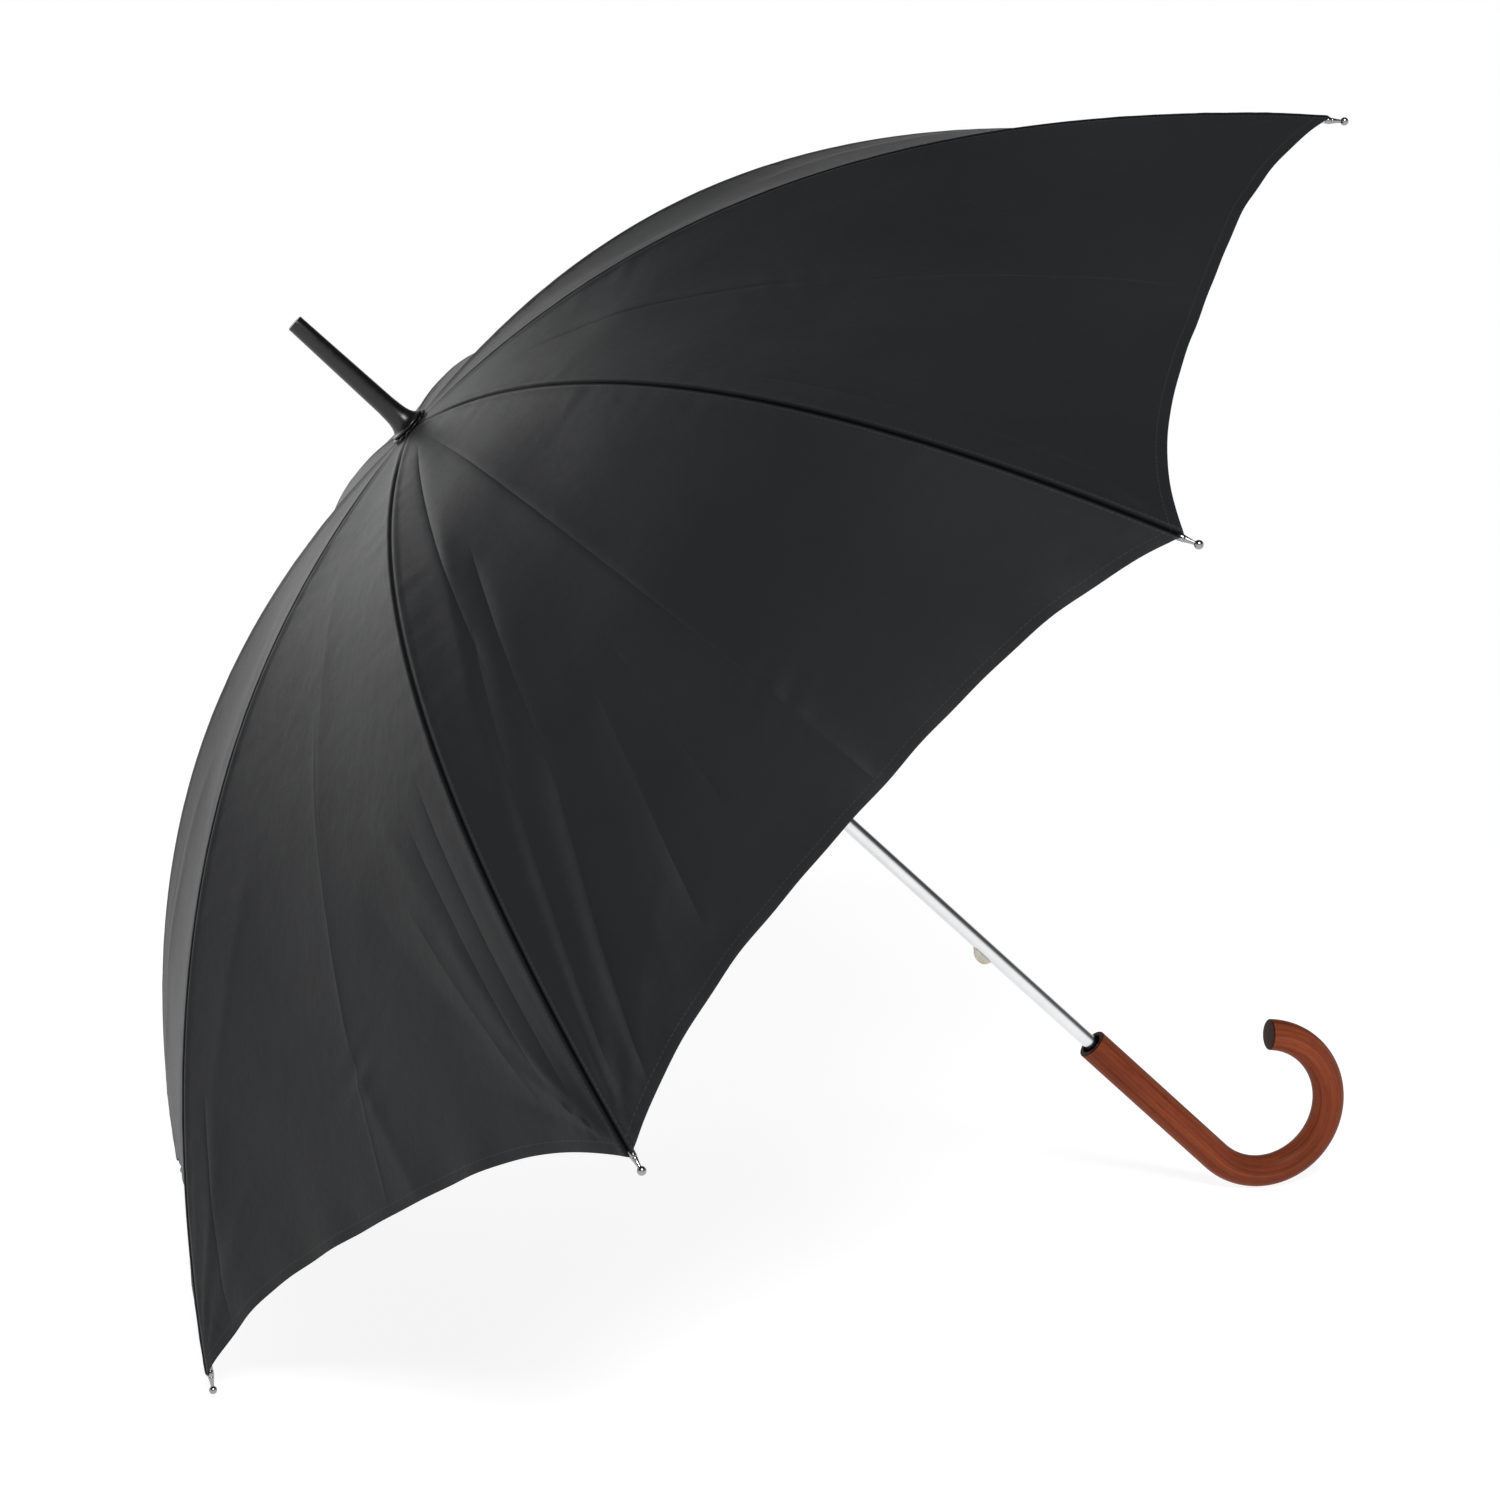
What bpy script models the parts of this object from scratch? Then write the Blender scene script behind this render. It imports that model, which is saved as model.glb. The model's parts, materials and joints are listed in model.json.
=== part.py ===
"""A stick umbrella with a wooden crook handle, open and lying on the floor.

The umbrella is modelled upright about its shaft: the origin is the canopy's apex, +Z runs to the
ferrule and -Z to the handle, and the crook turns towards +X. One empty then leans it over until the
two lowest rib tips and the crook's bend touch the floor at Z = 0. All lengths are in metres.
"""

import math

import bmesh
import bpy
from mathutils import Matrix, Vector

# Canopy: a rib's radius and depth at the hem, and the power of the radius that the depth follows
RIBS = 8
CANOPY_RADIUS = 0.507
CANOPY_DEPTH = 0.238
CANOPY_POWER = 2.33
CANOPY_THICKNESS = 0.0006
CANOPY_HOLE = 0.0056
HEM_SCALLOP = 0.020
HEM_FLATNESS = 3.5
PANEL_SAG = 0.009
SAG_REACH = 0.85
PANEL_ROWS = 10
PANEL_COLUMNS = 4
HALF_PANEL = math.pi / RIBS
GAP = 0.0003
SEAM_GAP = 0.75 * GAP

# Shaft, ferrule and handle
SHAFT_RADIUS = 0.0048
SHAFT_BORE = 0.0041
SHAFT_TOP = 0.028
HANDLE_TOP = -0.595
HANDLE_STRAIGHT = 0.121
HANDLE_RADIUS = 0.0103
CROOK_RADIUS = 0.0468
CROOK_SWEEP = math.radians(218)
SHAFT_IN_HANDLE = 0.055
FERRULE_TIP = 0.092
FERRULE_BASE = 0.0023
FERRULE_RADIUS = 0.0052
FLANGE_RADIUS = 0.0117
WASHER_RADIUS = 0.0122
WASHER_SCALLOPS = 12
SCALLOP_HEIGHT = 0.001
HANDLE_ROUNDING = 0.0008
CROOK_END_ROUNDING = 0.0012
RECESS_RADIUS = 0.0066
RECESS_DEPTH = 0.0035
PIN_RADIUS = 0.0011
PIN_PROUD = 0.0016

# Rib frame: pivots in the plane of a rib, as (radius, height)
NOTCH_PIVOT = Vector((0.008, 0, -0.0052))
RUNNER_PIVOT_RADIUS = 0.0095
RIB_BELOW_FABRIC = 0.0029
FLEX_RADIUS = 0.200
EAR_DROP = 0.0036
STRETCHER_LENGTH = 0.255
STRETCHER_SIDE = 0.0033
CLOSED_FLEX_RADIUS = 0.0165
CLOSED_TIP_RADIUS = 0.0185
WIRE_RADIUS = 0.0006
TONGUE = 0.0014
TONGUE_DEPTH = 0.0028
SLOT = 0.0021
SLOT_REACH = 0.020
NOTCH_RIM = 0.0112
NOTCH_BELOW_PIVOT = 0.0044
RIB_START = 0.0150
ROOT_OVERLAP = 0.0050
RIB_CHANNEL = (0.0016, 0.0013, 0.00055)
STRETCHER_CHANNEL = (0.0013, 0.0011, 0.0005)
TIP_BALL = 0.0023
TIP_LENGTH = 0.0105

# Runner and spring catches
RUNNER_BORE = 0.0052
RUNNER_SLEEVE = 0.0075
RUNNER_HUB = 0.0126
RUNNER_BELOW_PIVOT = 0.056
RUNNER_ABOVE_PIVOT = 0.0034
CATCH_LENGTH = 0.016
CATCH_PROUD = 0.005
CATCH_WIDTH = 0.0024
CATCH_FROM_RUNNER_END = 0.012
SPRING_REACH = 0.026
STOP_ABOVE_RUNNER = 0.014

# Closing strap on the outside of one far panel
STRAP_RADIUS_SHARE = 0.80
STRAP_WIDTH_SHARE = 0.040
STRAP_PANEL = 2
STRAP_ROOT = -0.08
STRAP_END = 0.97
STRAP_COLUMNS = 11
STRAP_LIFT = 0.0020
STRAP_THICKNESS = 0.0012
SNAP_PLACE = 0.86
SNAP_RADIUS = 0.0060

ROUND = 24
SMOOTH_BELOW = math.radians(35)


def clear_scene():
    for obj in list(bpy.data.objects):
        bpy.data.objects.remove(obj)


def material(name, colour, roughness, metallic=0.0):
    mat = bpy.data.materials.new(name)
    mat.use_nodes = True
    shader = mat.node_tree.nodes["Principled BSDF"]
    shader.inputs["Base Color"].default_value = (*colour, 1)
    shader.inputs["Roughness"].default_value = roughness
    shader.inputs["Metallic"].default_value = metallic
    return mat


# --- meshes -------------------------------------------------------------------------------------


def finished(bm, name, round_shape=False):
    """A mesh from bm with its faces turned out."""
    bmesh.ops.recalc_face_normals(bm, faces=bm.faces)
    mesh = bpy.data.meshes.new(name)
    bm.to_mesh(mesh)
    bm.free()
    if round_shape:
        mesh.shade_smooth()
        mesh.set_sharp_from_angle(angle=SMOOTH_BELOW)
    return mesh


def lofted(name, rings, round_shape=False, capped=True):
    """A solid through rings of points; uncapped rings join the last to the first."""
    bm = bmesh.new()
    loops = [[bm.verts.new(p) for p in ring] for ring in rings]
    pairs = list(zip(loops, loops[1:]))
    if not capped:
        pairs.append((loops[-1], loops[0]))
    for low, high in pairs:
        for i in range(len(low)):
            j = (i + 1) % len(low)
            bm.faces.new((low[i], low[j], high[j], high[i]))
    if capped:
        bm.faces.new(loops[0])
        bm.faces.new(loops[-1])
    return finished(bm, name, round_shape)


def turned(name, profile, segments=ROUND):
    """A solid of revolution about Z from (radius, height) points; a radius of 0 closes an end."""
    bm = bmesh.new()
    rings = []
    for radius, height in profile:
        count = 1 if radius == 0 else segments
        angles = [2 * math.pi * i / segments for i in range(count)]
        rings.append([bm.verts.new((radius * math.cos(a), radius * math.sin(a), height)) for a in angles])
    closed = profile[0][0] > 0
    pairs = list(zip(rings, rings[1:]))
    if closed:
        pairs.append((rings[-1], rings[0]))
    for low, high in pairs:
        for i in range(segments):
            j = (i + 1) % segments
            corners = [low[i % len(low)], low[j % len(low)], high[j % len(high)], high[i % len(high)]]
            unique = list(dict.fromkeys(corners))
            bm.faces.new(unique)
    return finished(bm, name, round_shape=True)


def block(name, low, high):
    """A box between two corners."""
    x0, y0, z0 = low
    x1, y1, z1 = high
    ring = [(x0, y0), (x1, y0), (x1, y1), (x0, y1)]
    return lofted(name, [[(x, y, z0) for x, y in ring], [(x, y, z1) for x, y in ring]])


def plate(name, outline, y0, y1):
    """A flat plate: an outline of (x, z) points given thickness along Y."""
    return lofted(name, [[(x, y0, z) for x, z in outline], [(x, y1, z) for x, z in outline]])


def arc(centre, radius, start, end, count):
    """Points of a circular arc in a plane, from start to end in degrees."""
    angles = [math.radians(start + (end - start) * i / (count - 1)) for i in range(count)]
    return [(centre[0] + radius * math.cos(a), centre[1] + radius * math.sin(a)) for a in angles]


def rod(name, start, end, radius, segments=12):
    """A round bar between two points."""
    start, end = Vector(start), Vector(end)
    turn = (end - start).to_track_quat("Z", "Y").to_matrix()
    ring = [turn @ Vector((x, y, 0)) for x, y in arc((0, 0), radius, 0, 360, segments + 1)[:-1]]
    return lofted(name, [[start + p for p in ring], [end + p for p in ring]], round_shape=True)


def combined(name, solid, added=(), cut=()):
    """One mesh: solid joined with the added meshes, less the cut ones."""
    base = bpy.data.objects.new(name, solid)
    bpy.context.collection.objects.link(base)
    helpers = []
    for operation, meshes in (("UNION", added), ("DIFFERENCE", cut)):
        for mesh in meshes:
            helper = bpy.data.objects.new(mesh.name, mesh)
            bpy.context.collection.objects.link(helper)
            helpers.append(helper)
            modifier = base.modifiers.new(operation.lower(), "BOOLEAN")
            modifier.operation = operation
            modifier.object = helper
    bpy.context.view_layer.update()
    depsgraph = bpy.context.evaluated_depsgraph_get()
    result = bpy.data.meshes.new_from_object(base.evaluated_get(depsgraph))
    result.name = name
    for obj in [base, *helpers]:
        bpy.data.objects.remove(obj)
    result.shade_smooth()
    result.set_sharp_from_angle(angle=SMOOTH_BELOW)
    return result


def place(name, mesh, mat, parent, location=(0, 0, 0), azimuth=0.0):
    """An object of the umbrella, turned about the shaft to its azimuth."""
    obj = bpy.data.objects.new(name, mesh)
    bpy.context.collection.objects.link(obj)
    obj.parent = parent
    obj.rotation_euler = (0, 0, azimuth)
    obj.location = Matrix.Rotation(azimuth, 3, "Z") @ Vector(location)
    if not mesh.materials:
        mesh.materials.append(mat)
    return obj


# --- the canopy's shape and the rib frame's geometry ----------------------------------------------


def meridian(radius, below=0.0):
    """A point of a rib's curve in the rib plane, a distance below the fabric's middle."""
    share = radius / CANOPY_RADIUS
    slope = CANOPY_POWER * CANOPY_DEPTH / CANOPY_RADIUS * share ** (CANOPY_POWER - 1)
    normal = Vector((slope, 0, 1)).normalized()
    return Vector((radius, 0, -CANOPY_DEPTH * share**CANOPY_POWER)) - below * normal


def canopy_point(share, across, lift=0.0):
    """A point of the panel between the ribs at azimuths -HALF_PANEL and +HALF_PANEL.

    share is the radius as a share of the rib's, across runs from -1 to 1 between the ribs.
    """
    cut = HEM_SCALLOP * (1 - abs(across) ** HEM_FLATNESS) * share**4
    share = share - cut / (CANOPY_RADIUS * math.cos(HALF_PANEL))
    slope = CANOPY_POWER * CANOPY_DEPTH / CANOPY_RADIUS * share ** (CANOPY_POWER - 1)
    turn = across * HALF_PANEL
    normal = Vector((slope * math.cos(turn), slope * math.sin(turn), 1)).normalized()
    radius = share * CANOPY_RADIUS
    side = across * (radius * math.sin(HALF_PANEL) - SEAM_GAP)
    point = Vector((radius * math.cos(HALF_PANEL), side, -CANOPY_DEPTH * share**CANOPY_POWER))
    sag = PANEL_SAG * math.sin(math.pi * SAG_REACH * share) ** 2 * (1 - across**2)
    return point + (lift - sag) * normal


def rib_frame():
    """The open and closed positions of the rib frame's pivots, in the plane of a rib."""
    flex = meridian(FLEX_RADIUS, RIB_BELOW_FABRIC)
    ear = meridian(FLEX_RADIUS, RIB_BELOW_FABRIC + EAR_DROP)
    end = meridian(CANOPY_RADIUS, RIB_BELOW_FABRIC)
    drop = math.sqrt(STRETCHER_LENGTH**2 - (ear.x - RUNNER_PIVOT_RADIUS) ** 2)
    runner = Vector((RUNNER_PIVOT_RADIUS, 0, ear.z - drop))

    inner = (flex - NOTCH_PIVOT).length
    fall = math.sqrt(inner**2 - (CLOSED_FLEX_RADIUS - NOTCH_PIVOT.x) ** 2)
    closed_flex = Vector((CLOSED_FLEX_RADIUS, 0, NOTCH_PIVOT.z - fall))
    rib_angle = turn_between(flex - NOTCH_PIVOT, closed_flex - NOTCH_PIVOT)
    closed_ear = NOTCH_PIVOT + Matrix.Rotation(rib_angle, 3, "Y") @ (ear - NOTCH_PIVOT)

    outer = (end - flex).length
    fall = math.sqrt(outer**2 - (CLOSED_TIP_RADIUS - CLOSED_FLEX_RADIUS) ** 2)
    closed_end = Vector((CLOSED_TIP_RADIUS, 0, closed_flex.z - fall))
    flex_angle = turn_between(end - flex, closed_end - closed_flex) - rib_angle

    drop = math.sqrt(STRETCHER_LENGTH**2 - (closed_ear.x - RUNNER_PIVOT_RADIUS) ** 2)
    closed_runner = Vector((RUNNER_PIVOT_RADIUS, 0, closed_ear.z - drop))
    stretcher_angle = turn_between(ear - runner, closed_ear - closed_runner)
    return {
        "flex": flex,
        "ear": ear,
        "end": end,
        "runner": runner,
        "travel": runner.z - closed_runner.z,
        "rib_angle": rib_angle,
        "flex_angle": flex_angle,
        "stretcher_angle": stretcher_angle,
        "closed_runner": closed_runner,
    }


def turn_between(start, end):
    """The turn about +Y that carries one direction of the rib plane onto another."""
    return math.atan2(start.z, start.x) - math.atan2(end.z, end.x)


def azimuth(index):
    return (2 * index + 1) * HALF_PANEL


def lean():
    """How far the upright umbrella leans over when its two lowest tips and its crook lie on a floor."""
    end = rib_frame()["end"]
    below = meridian(CANOPY_RADIUS, RIB_BELOW_FABRIC) - meridian(CANOPY_RADIUS - 0.001, RIB_BELOW_FABRIC)
    ball = end + below.normalized() * (TIP_LENGTH - TIP_BALL)
    tip = Vector((-ball.x * math.cos(HALF_PANEL), ball.z))
    crook = Vector((CROOK_RADIUS, HANDLE_TOP - HANDLE_STRAIGHT))
    across = crook - tip
    rise = CROOK_RADIUS + HANDLE_RADIUS - TIP_BALL
    return math.asin(rise / across.length) - math.atan2(across.y, across.x)


# --- pieces on the shaft --------------------------------------------------------------------------


def slot_cutters(name, inner, outer, low, high):
    """Radial slots for the tongues of the ribs or the stretchers."""
    cutters = []
    for index in range(RIBS):
        mesh = block(f"{name}_{index}", (inner, -SLOT / 2, low), (outer, SLOT / 2, high))
        mesh.transform(Matrix.Rotation(azimuth(index), 4, "Z"))
        cutters.append(mesh)
    return cutters


def wire_ring(name, radius, height):
    """A closed ring of wire about the shaft."""
    section = arc((radius, height), WIRE_RADIUS, 0, 360, 9)[:-1]
    return turned(name, section, segments=32)


def catch_heights():
    """Heights of the two spring catches: each stands near the lower end of the parked runner."""
    frame = rib_frame()
    above_end = -RUNNER_BELOW_PIVOT + CATCH_FROM_RUNNER_END
    return {"top_catch": frame["runner"].z + above_end, "bottom_catch": frame["closed_runner"].z + above_end}


def shaft(parent, mat):
    bottom = HANDLE_TOP - SHAFT_IN_HANDLE
    tube = turned(
        "shaft",
        [(SHAFT_BORE, bottom), (SHAFT_RADIUS, bottom), (SHAFT_RADIUS, SHAFT_TOP), (SHAFT_BORE, SHAFT_TOP)],
    )
    cutters = []
    half_width = CATCH_WIDTH / 2 + GAP
    for name, height in catch_heights().items():
        low = (-2 * SHAFT_RADIUS, -half_width, height - CATCH_LENGTH / 2 - GAP)
        high = (0, half_width, height + CATCH_LENGTH / 2 + GAP)
        cutters.append(block(name, low, high))
    reach = 2 * SHAFT_RADIUS
    cutters.append(rod("pin_hole", (0, -reach, stop_height()), (0, reach, stop_height()), PIN_RADIUS + GAP))
    place("shaft", combined("shaft", tube, cut=cutters), mat, parent)


def stop_height():
    return rib_frame()["runner"].z + STOP_ABOVE_RUNNER


def runner_stop_pin(parent, mat):
    """A cross pin that stops the runner from passing its top catch."""
    reach = SHAFT_RADIUS + PIN_PROUD
    mesh = rod("runner_stop_pin", (0, -reach, 0), (0, reach, 0), PIN_RADIUS)
    place("runner_stop_pin", mesh, mat, parent, (0, 0, stop_height()))


def ferrule(parent, mat):
    bore = SHAFT_RADIUS + GAP
    base = FERRULE_BASE
    profile = [
        (bore, base),
        (FLANGE_RADIUS - 0.0006, base),
        (FLANGE_RADIUS, base + 0.0007),
        (FLANGE_RADIUS - 0.0004, base + 0.0019),
        (0.0090, base + 0.0034),
        (0.0074, base + 0.0060),
        (0.0066, base + 0.0105),
        (0.0062, base + 0.0180),
        (FERRULE_RADIUS, FERRULE_TIP - 0.0010),
        (FERRULE_RADIUS - 0.0006, FERRULE_TIP),
        (0, FERRULE_TIP),
    ]
    inner = [(0, SHAFT_TOP + 0.001), (bore, SHAFT_TOP + 0.001)]
    place("ferrule", turned("ferrule", inner + profile), mat, parent)


def canopy_washer(parent, mat):
    """A small disc with a scalloped rim between the canopy and the ferrule."""
    low, high = CANOPY_THICKNESS / 2 + GAP, FERRULE_BASE - GAP
    count = 4 * WASHER_SCALLOPS
    rings = []
    for inner, height in ((False, low), (False, high), (True, high), (True, low)):
        ring = []
        for i in range(count):
            turn = 2 * math.pi * i / count
            rim = WASHER_RADIUS + SCALLOP_HEIGHT * abs(math.cos(WASHER_SCALLOPS * turn / 2))
            radius = SHAFT_RADIUS + GAP if inner else rim
            ring.append((radius * math.cos(turn), radius * math.sin(turn), height))
        rings.append(ring)
    place("canopy_washer", lofted("canopy_washer", rings, capped=False), mat, parent)


def top_notch(parent, mat):
    """The slotted crown that the eight ribs hinge in."""
    bore, rim = SHAFT_RADIUS + GAP, NOTCH_RIM
    top, bottom = -CANOPY_THICKNESS / 2 - GAP, NOTCH_PIVOT.z - NOTCH_BELOW_PIVOT
    floor = NOTCH_PIVOT.z - WIRE_RADIUS - GAP
    groove = WIRE_RADIUS + GAP
    profile = [
        (bore, top),
        (bore, bottom),
        (rim - 0.0015, bottom),
        (rim, bottom + 0.0012),
        (rim, top - 0.0006),
        (rim - 0.0006, top),
        (NOTCH_PIVOT.x + groove, top),
        (NOTCH_PIVOT.x + groove, floor),
        (NOTCH_PIVOT.x - groove, floor),
        (NOTCH_PIVOT.x - groove, top),
    ]
    body = turned("top_notch", profile)
    cutters = slot_cutters("rib_slot", 0.0062, SLOT_REACH, 2 * bottom, -bottom)
    place("top_notch", combined("top_notch", body, cut=cutters), mat, parent)


def handle(parent, mat):
    """The crook: a straight grip and a bend in the XZ plane, bored for the shaft."""
    bottom = HANDLE_TOP - HANDLE_STRAIGHT
    stations = [(Vector((0, 0, HANDLE_TOP)), 0.0, HANDLE_RADIUS - HANDLE_ROUNDING)]
    shoulder = HANDLE_TOP - HANDLE_ROUNDING
    for share in (0.0, 0.5, 1.0):
        height = shoulder + (bottom - shoulder) * share
        stations.append((Vector((0, 0, height)), 0.0, HANDLE_RADIUS))
    steps = 18
    for i in range(1, steps + 1):
        turn = CROOK_SWEEP * i / steps
        centre = Vector((CROOK_RADIUS * (1 - math.cos(turn)), 0, bottom - CROOK_RADIUS * math.sin(turn)))
        stations.append((centre, turn, HANDLE_RADIUS))
    last = stations[-1]
    ahead = Vector((math.sin(CROOK_SWEEP), 0, -math.cos(CROOK_SWEEP)))
    end_radius = HANDLE_RADIUS - CROOK_END_ROUNDING
    stations.append((last[0] + CROOK_END_ROUNDING * ahead, CROOK_SWEEP, end_radius))
    rings = []
    for centre, turn, radius in stations:
        side = Vector((math.cos(turn), 0, math.sin(turn)))
        circle = arc((0, 0), radius, 0, 360, ROUND + 1)[:-1]
        rings.append([centre + side * a + Vector((0, b, 0)) for a, b in circle])
    bore = SHAFT_RADIUS + GAP
    deep = HANDLE_TOP - SHAFT_IN_HANDLE - 0.001
    step = HANDLE_TOP - RECESS_DEPTH
    above = 0.99 * HANDLE_TOP
    outline = [(0, deep), (bore, deep), (bore, step - 0.0005)]
    outline += [(RECESS_RADIUS, step), (RECESS_RADIUS, above), (0, above)]
    drill = turned("shaft_bore", outline)
    solid = lofted("handle", rings, round_shape=True)
    place("handle", combined("handle", solid, cut=[drill]), mat, parent)


def spring_catch(name, height, parent, mat):
    """A half-round catch that stands out of the shaft's slot on a flat spring inside the bore."""
    base = SHAFT_RADIUS - 0.0006
    top = SHAFT_RADIUS + CATCH_PROUD
    half = CATCH_LENGTH / 2
    outline = [
        (-0.0010, SPRING_REACH),
        (-0.0010, -half),
        (-base, -half),
        (-base - 0.0022, -half + 0.0006),
        (-top + 0.0010, -half + 0.0030),
        (-top, -half + 0.0065),
        (-top + 0.0004, 0.0015),
        (-top + 0.0018, 0.0045),
        (-base - 0.0008, half - 0.0004),
        (-base, half),
        (-0.0020, half),
        (-0.0018, SPRING_REACH),
    ]
    mesh = plate(name, outline, -CATCH_WIDTH / 2, CATCH_WIDTH / 2)
    place(name, mesh, mat, parent, (0, 0, height))


# --- runner ---------------------------------------------------------------------------------------


def runner(parent, mat, wire_mat):
    """The sliding hub and sleeve, with a slot along its catch side."""
    pivot = rib_frame()["runner"]
    groove = WIRE_RADIUS + GAP
    top, floor = RUNNER_ABOVE_PIVOT, -WIRE_RADIUS - GAP
    end = -RUNNER_BELOW_PIVOT
    profile = [
        (RUNNER_BORE, top),
        (RUNNER_BORE, end),
        (RUNNER_SLEEVE + 0.0012, end),
        (RUNNER_SLEEVE + 0.0018, end + 0.0012),
        (RUNNER_SLEEVE + 0.0012, end + 0.0030),
        (RUNNER_SLEEVE, end + 0.0055),
        (RUNNER_SLEEVE, -0.0120),
        (RUNNER_HUB - 0.0014, -0.0062),
        (RUNNER_HUB, -0.0048),
        (RUNNER_HUB, top - 0.0008),
        (RUNNER_HUB - 0.0008, top),
        (RUNNER_PIVOT_RADIUS + groove, top),
        (RUNNER_PIVOT_RADIUS + groove, floor),
        (RUNNER_PIVOT_RADIUS - groove, floor),
        (RUNNER_PIVOT_RADIUS - groove, top),
    ]
    body = turned("runner", profile)
    cutters = slot_cutters("stretcher_slot", 0.0077, SLOT_REACH, floor - 0.0016, 2 * top)
    half = CATCH_WIDTH / 2 + 2 * GAP
    cutters.append(block("catch_slot", (-SLOT_REACH, -half, 1.1 * end), (-0.003, half, 2 * top)))
    place("runner", combined("runner", body, cut=cutters), mat, parent, (0, 0, pivot.z))
    wire = wire_ring("runner_wire", RUNNER_PIVOT_RADIUS, 0)
    gap_cut = block("wire_gap", (-SLOT_REACH, -half, -0.01), (-0.003, half, 0.01))
    place("runner_wire", combined("runner_wire", wire, cut=[gap_cut]), wire_mat, parent, (0, 0, pivot.z))


# --- ribs, stretchers and tips --------------------------------------------------------------------


def channel_ring(point, normal, half_width, half_depth, wall, side=0.0, fold=1):
    """One section of a U channel whose open side faces against the normal (fold 1) or along it (-1)."""
    w, d = half_width, half_depth
    section = [(-w, -d), (-w, d - 0.0006), (-w + 0.0006, d), (w - 0.0006, d), (w, d - 0.0006), (w, -d)]
    section += [(w - wall, -d), (w - wall, d - wall), (wall - w, d - wall), (wall - w, -d)]
    return [point + Vector((0, side + y, 0)) + fold * n * normal for y, n in section]


def tongue(name, direction, length, side_normal):
    """A flat tongue with a round end and an eye, from the pivot at the origin along a direction."""
    half = TONGUE_DEPTH / 2
    outline = []
    for a, b in arc((0, 0), half, 90, 270, 9):
        outline.append(direction * a + side_normal * b)
    outline += [direction * length - side_normal * half, direction * length + side_normal * half]
    points = [(p.x, p.z) for p in outline]
    eye = rod("eye", (0, -0.01, 0), (0, 0.01, 0), WIRE_RADIUS + 0.0004)
    return combined(name, plate(name, points, -TONGUE / 2, TONGUE / 2), cut=[eye])


def rib_stations(start, end, count):
    """Sections of a rib's curve between two radii, each as its point and its normal."""
    stations = []
    for i in range(count):
        radius = start + (end - start) * i / (count - 1)
        point = meridian(radius, RIB_BELOW_FABRIC)
        stations.append((point, (meridian(radius) - point).normalized()))
    return stations


def rib_inner_mesh():
    """From the notch to the flex point, with the ear that the stretcher is riveted to."""
    frame = rib_frame()
    rings = []
    for point, normal in rib_stations(RIB_START, FLEX_RADIUS - 2 * GAP, 5):
        rings.append(channel_ring(point - NOTCH_PIVOT, normal, *RIB_CHANNEL))
    channel = lofted("rib_channel", rings)
    target = meridian(RIB_START + ROOT_OVERLAP, RIB_BELOW_FABRIC) - NOTCH_PIVOT
    direction = target.normalized()
    root = tongue("rib_tongue", direction, target.length, Vector((-direction.z, 0, direction.x)))
    ear_at = frame["ear"] - NOTCH_PIVOT
    normal = (frame["flex"] - frame["ear"]).normalized()
    along = Vector((normal.z, 0, -normal.x))
    back = ear_at - along * 0.0050
    outline = [back + normal * 0.0040, back - normal * 0.0004]
    for a, b in arc((0, 0), 0.0017, 270, 360, 5):
        outline.append(ear_at + along * (a - 0.0014) + normal * b)
    outline.append(ear_at + along * 0.0003 + normal * 0.0040)
    points = [(p.x, p.z) for p in outline]
    ear = plate("rib_ear", points, -0.0012, 0.0017)
    return combined("rib_inner", channel, added=[root, ear])


def rib_outer_mesh():
    """From the flex point to the tip."""
    flex = rib_frame()["flex"]
    rings = []
    for point, normal in rib_stations(FLEX_RADIUS + 2 * GAP, CANOPY_RADIUS - 5 * GAP, 8):
        rings.append(channel_ring(point - flex, normal, *RIB_CHANNEL))
    return lofted("rib_outer", rings)


def rib_tip_mesh():
    """A tapering metal cap with a ball end, along the rib's last direction."""
    flex, end = rib_frame()["flex"], rib_frame()["end"]
    neck = TIP_LENGTH - 2 * TIP_BALL
    profile = [(0, 0), (0.0017, 0), (0.0019, 0.0008), (0.0013, 0.6 * neck), (0.0009, neck)]
    for i in range(1, 6):
        turn = math.radians(-60 + 30 * i - 10)
        profile.append((TIP_BALL * math.cos(turn), TIP_LENGTH - TIP_BALL + TIP_BALL * math.sin(turn)))
    profile.append((0, TIP_LENGTH))
    mesh = turned("rib_tip", profile, segments=12)
    ahead = (end - meridian(CANOPY_RADIUS - 0.001, RIB_BELOW_FABRIC)).normalized()
    turn = Vector((0, 0, 1)).rotation_difference(ahead).to_matrix().to_4x4()
    mesh.transform(Matrix.Translation(end - flex) @ turn)
    return mesh


def stretcher_mesh():
    """A straight channel from the runner to the ear, set beside the rib's plane past its tongue."""
    frame = rib_frame()
    reach = frame["ear"] - frame["runner"]
    direction = reach.normalized()
    normal = Vector((-direction.z, 0, direction.x))
    end = reach.length - 0.006
    stations = [(0.0075, 0.0), (0.0120, 0.0), (0.0300, STRETCHER_SIDE), (end, STRETCHER_SIDE)]
    rings = []
    for along, side in stations:
        rings.append(channel_ring(direction * along, normal, *STRETCHER_CHANNEL, side))
    channel = lofted("stretcher_channel", rings)
    root = tongue("stretcher_tongue", direction, 0.0115, normal)
    outline = []
    for a, b in arc((0, 0), 0.0018, -90, 90, 7):
        outline.append(reach + direction * a + normal * b)
    back = reach - direction * 0.014
    outline += [back + normal * 0.0009, back - normal * 0.0009]
    inner = STRETCHER_SIDE - STRETCHER_CHANNEL[0]
    tab = plate("stretcher_tab", [(p.x, p.z) for p in outline], inner, inner + 0.0010)
    ends = [reach + Vector((0, inner + side, 0)) for side in (0.0004, 0.0018)]
    rivet = rod("rivet", *ends, 0.0012)
    return combined("stretcher", channel, added=[root, tab, rivet])


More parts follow.
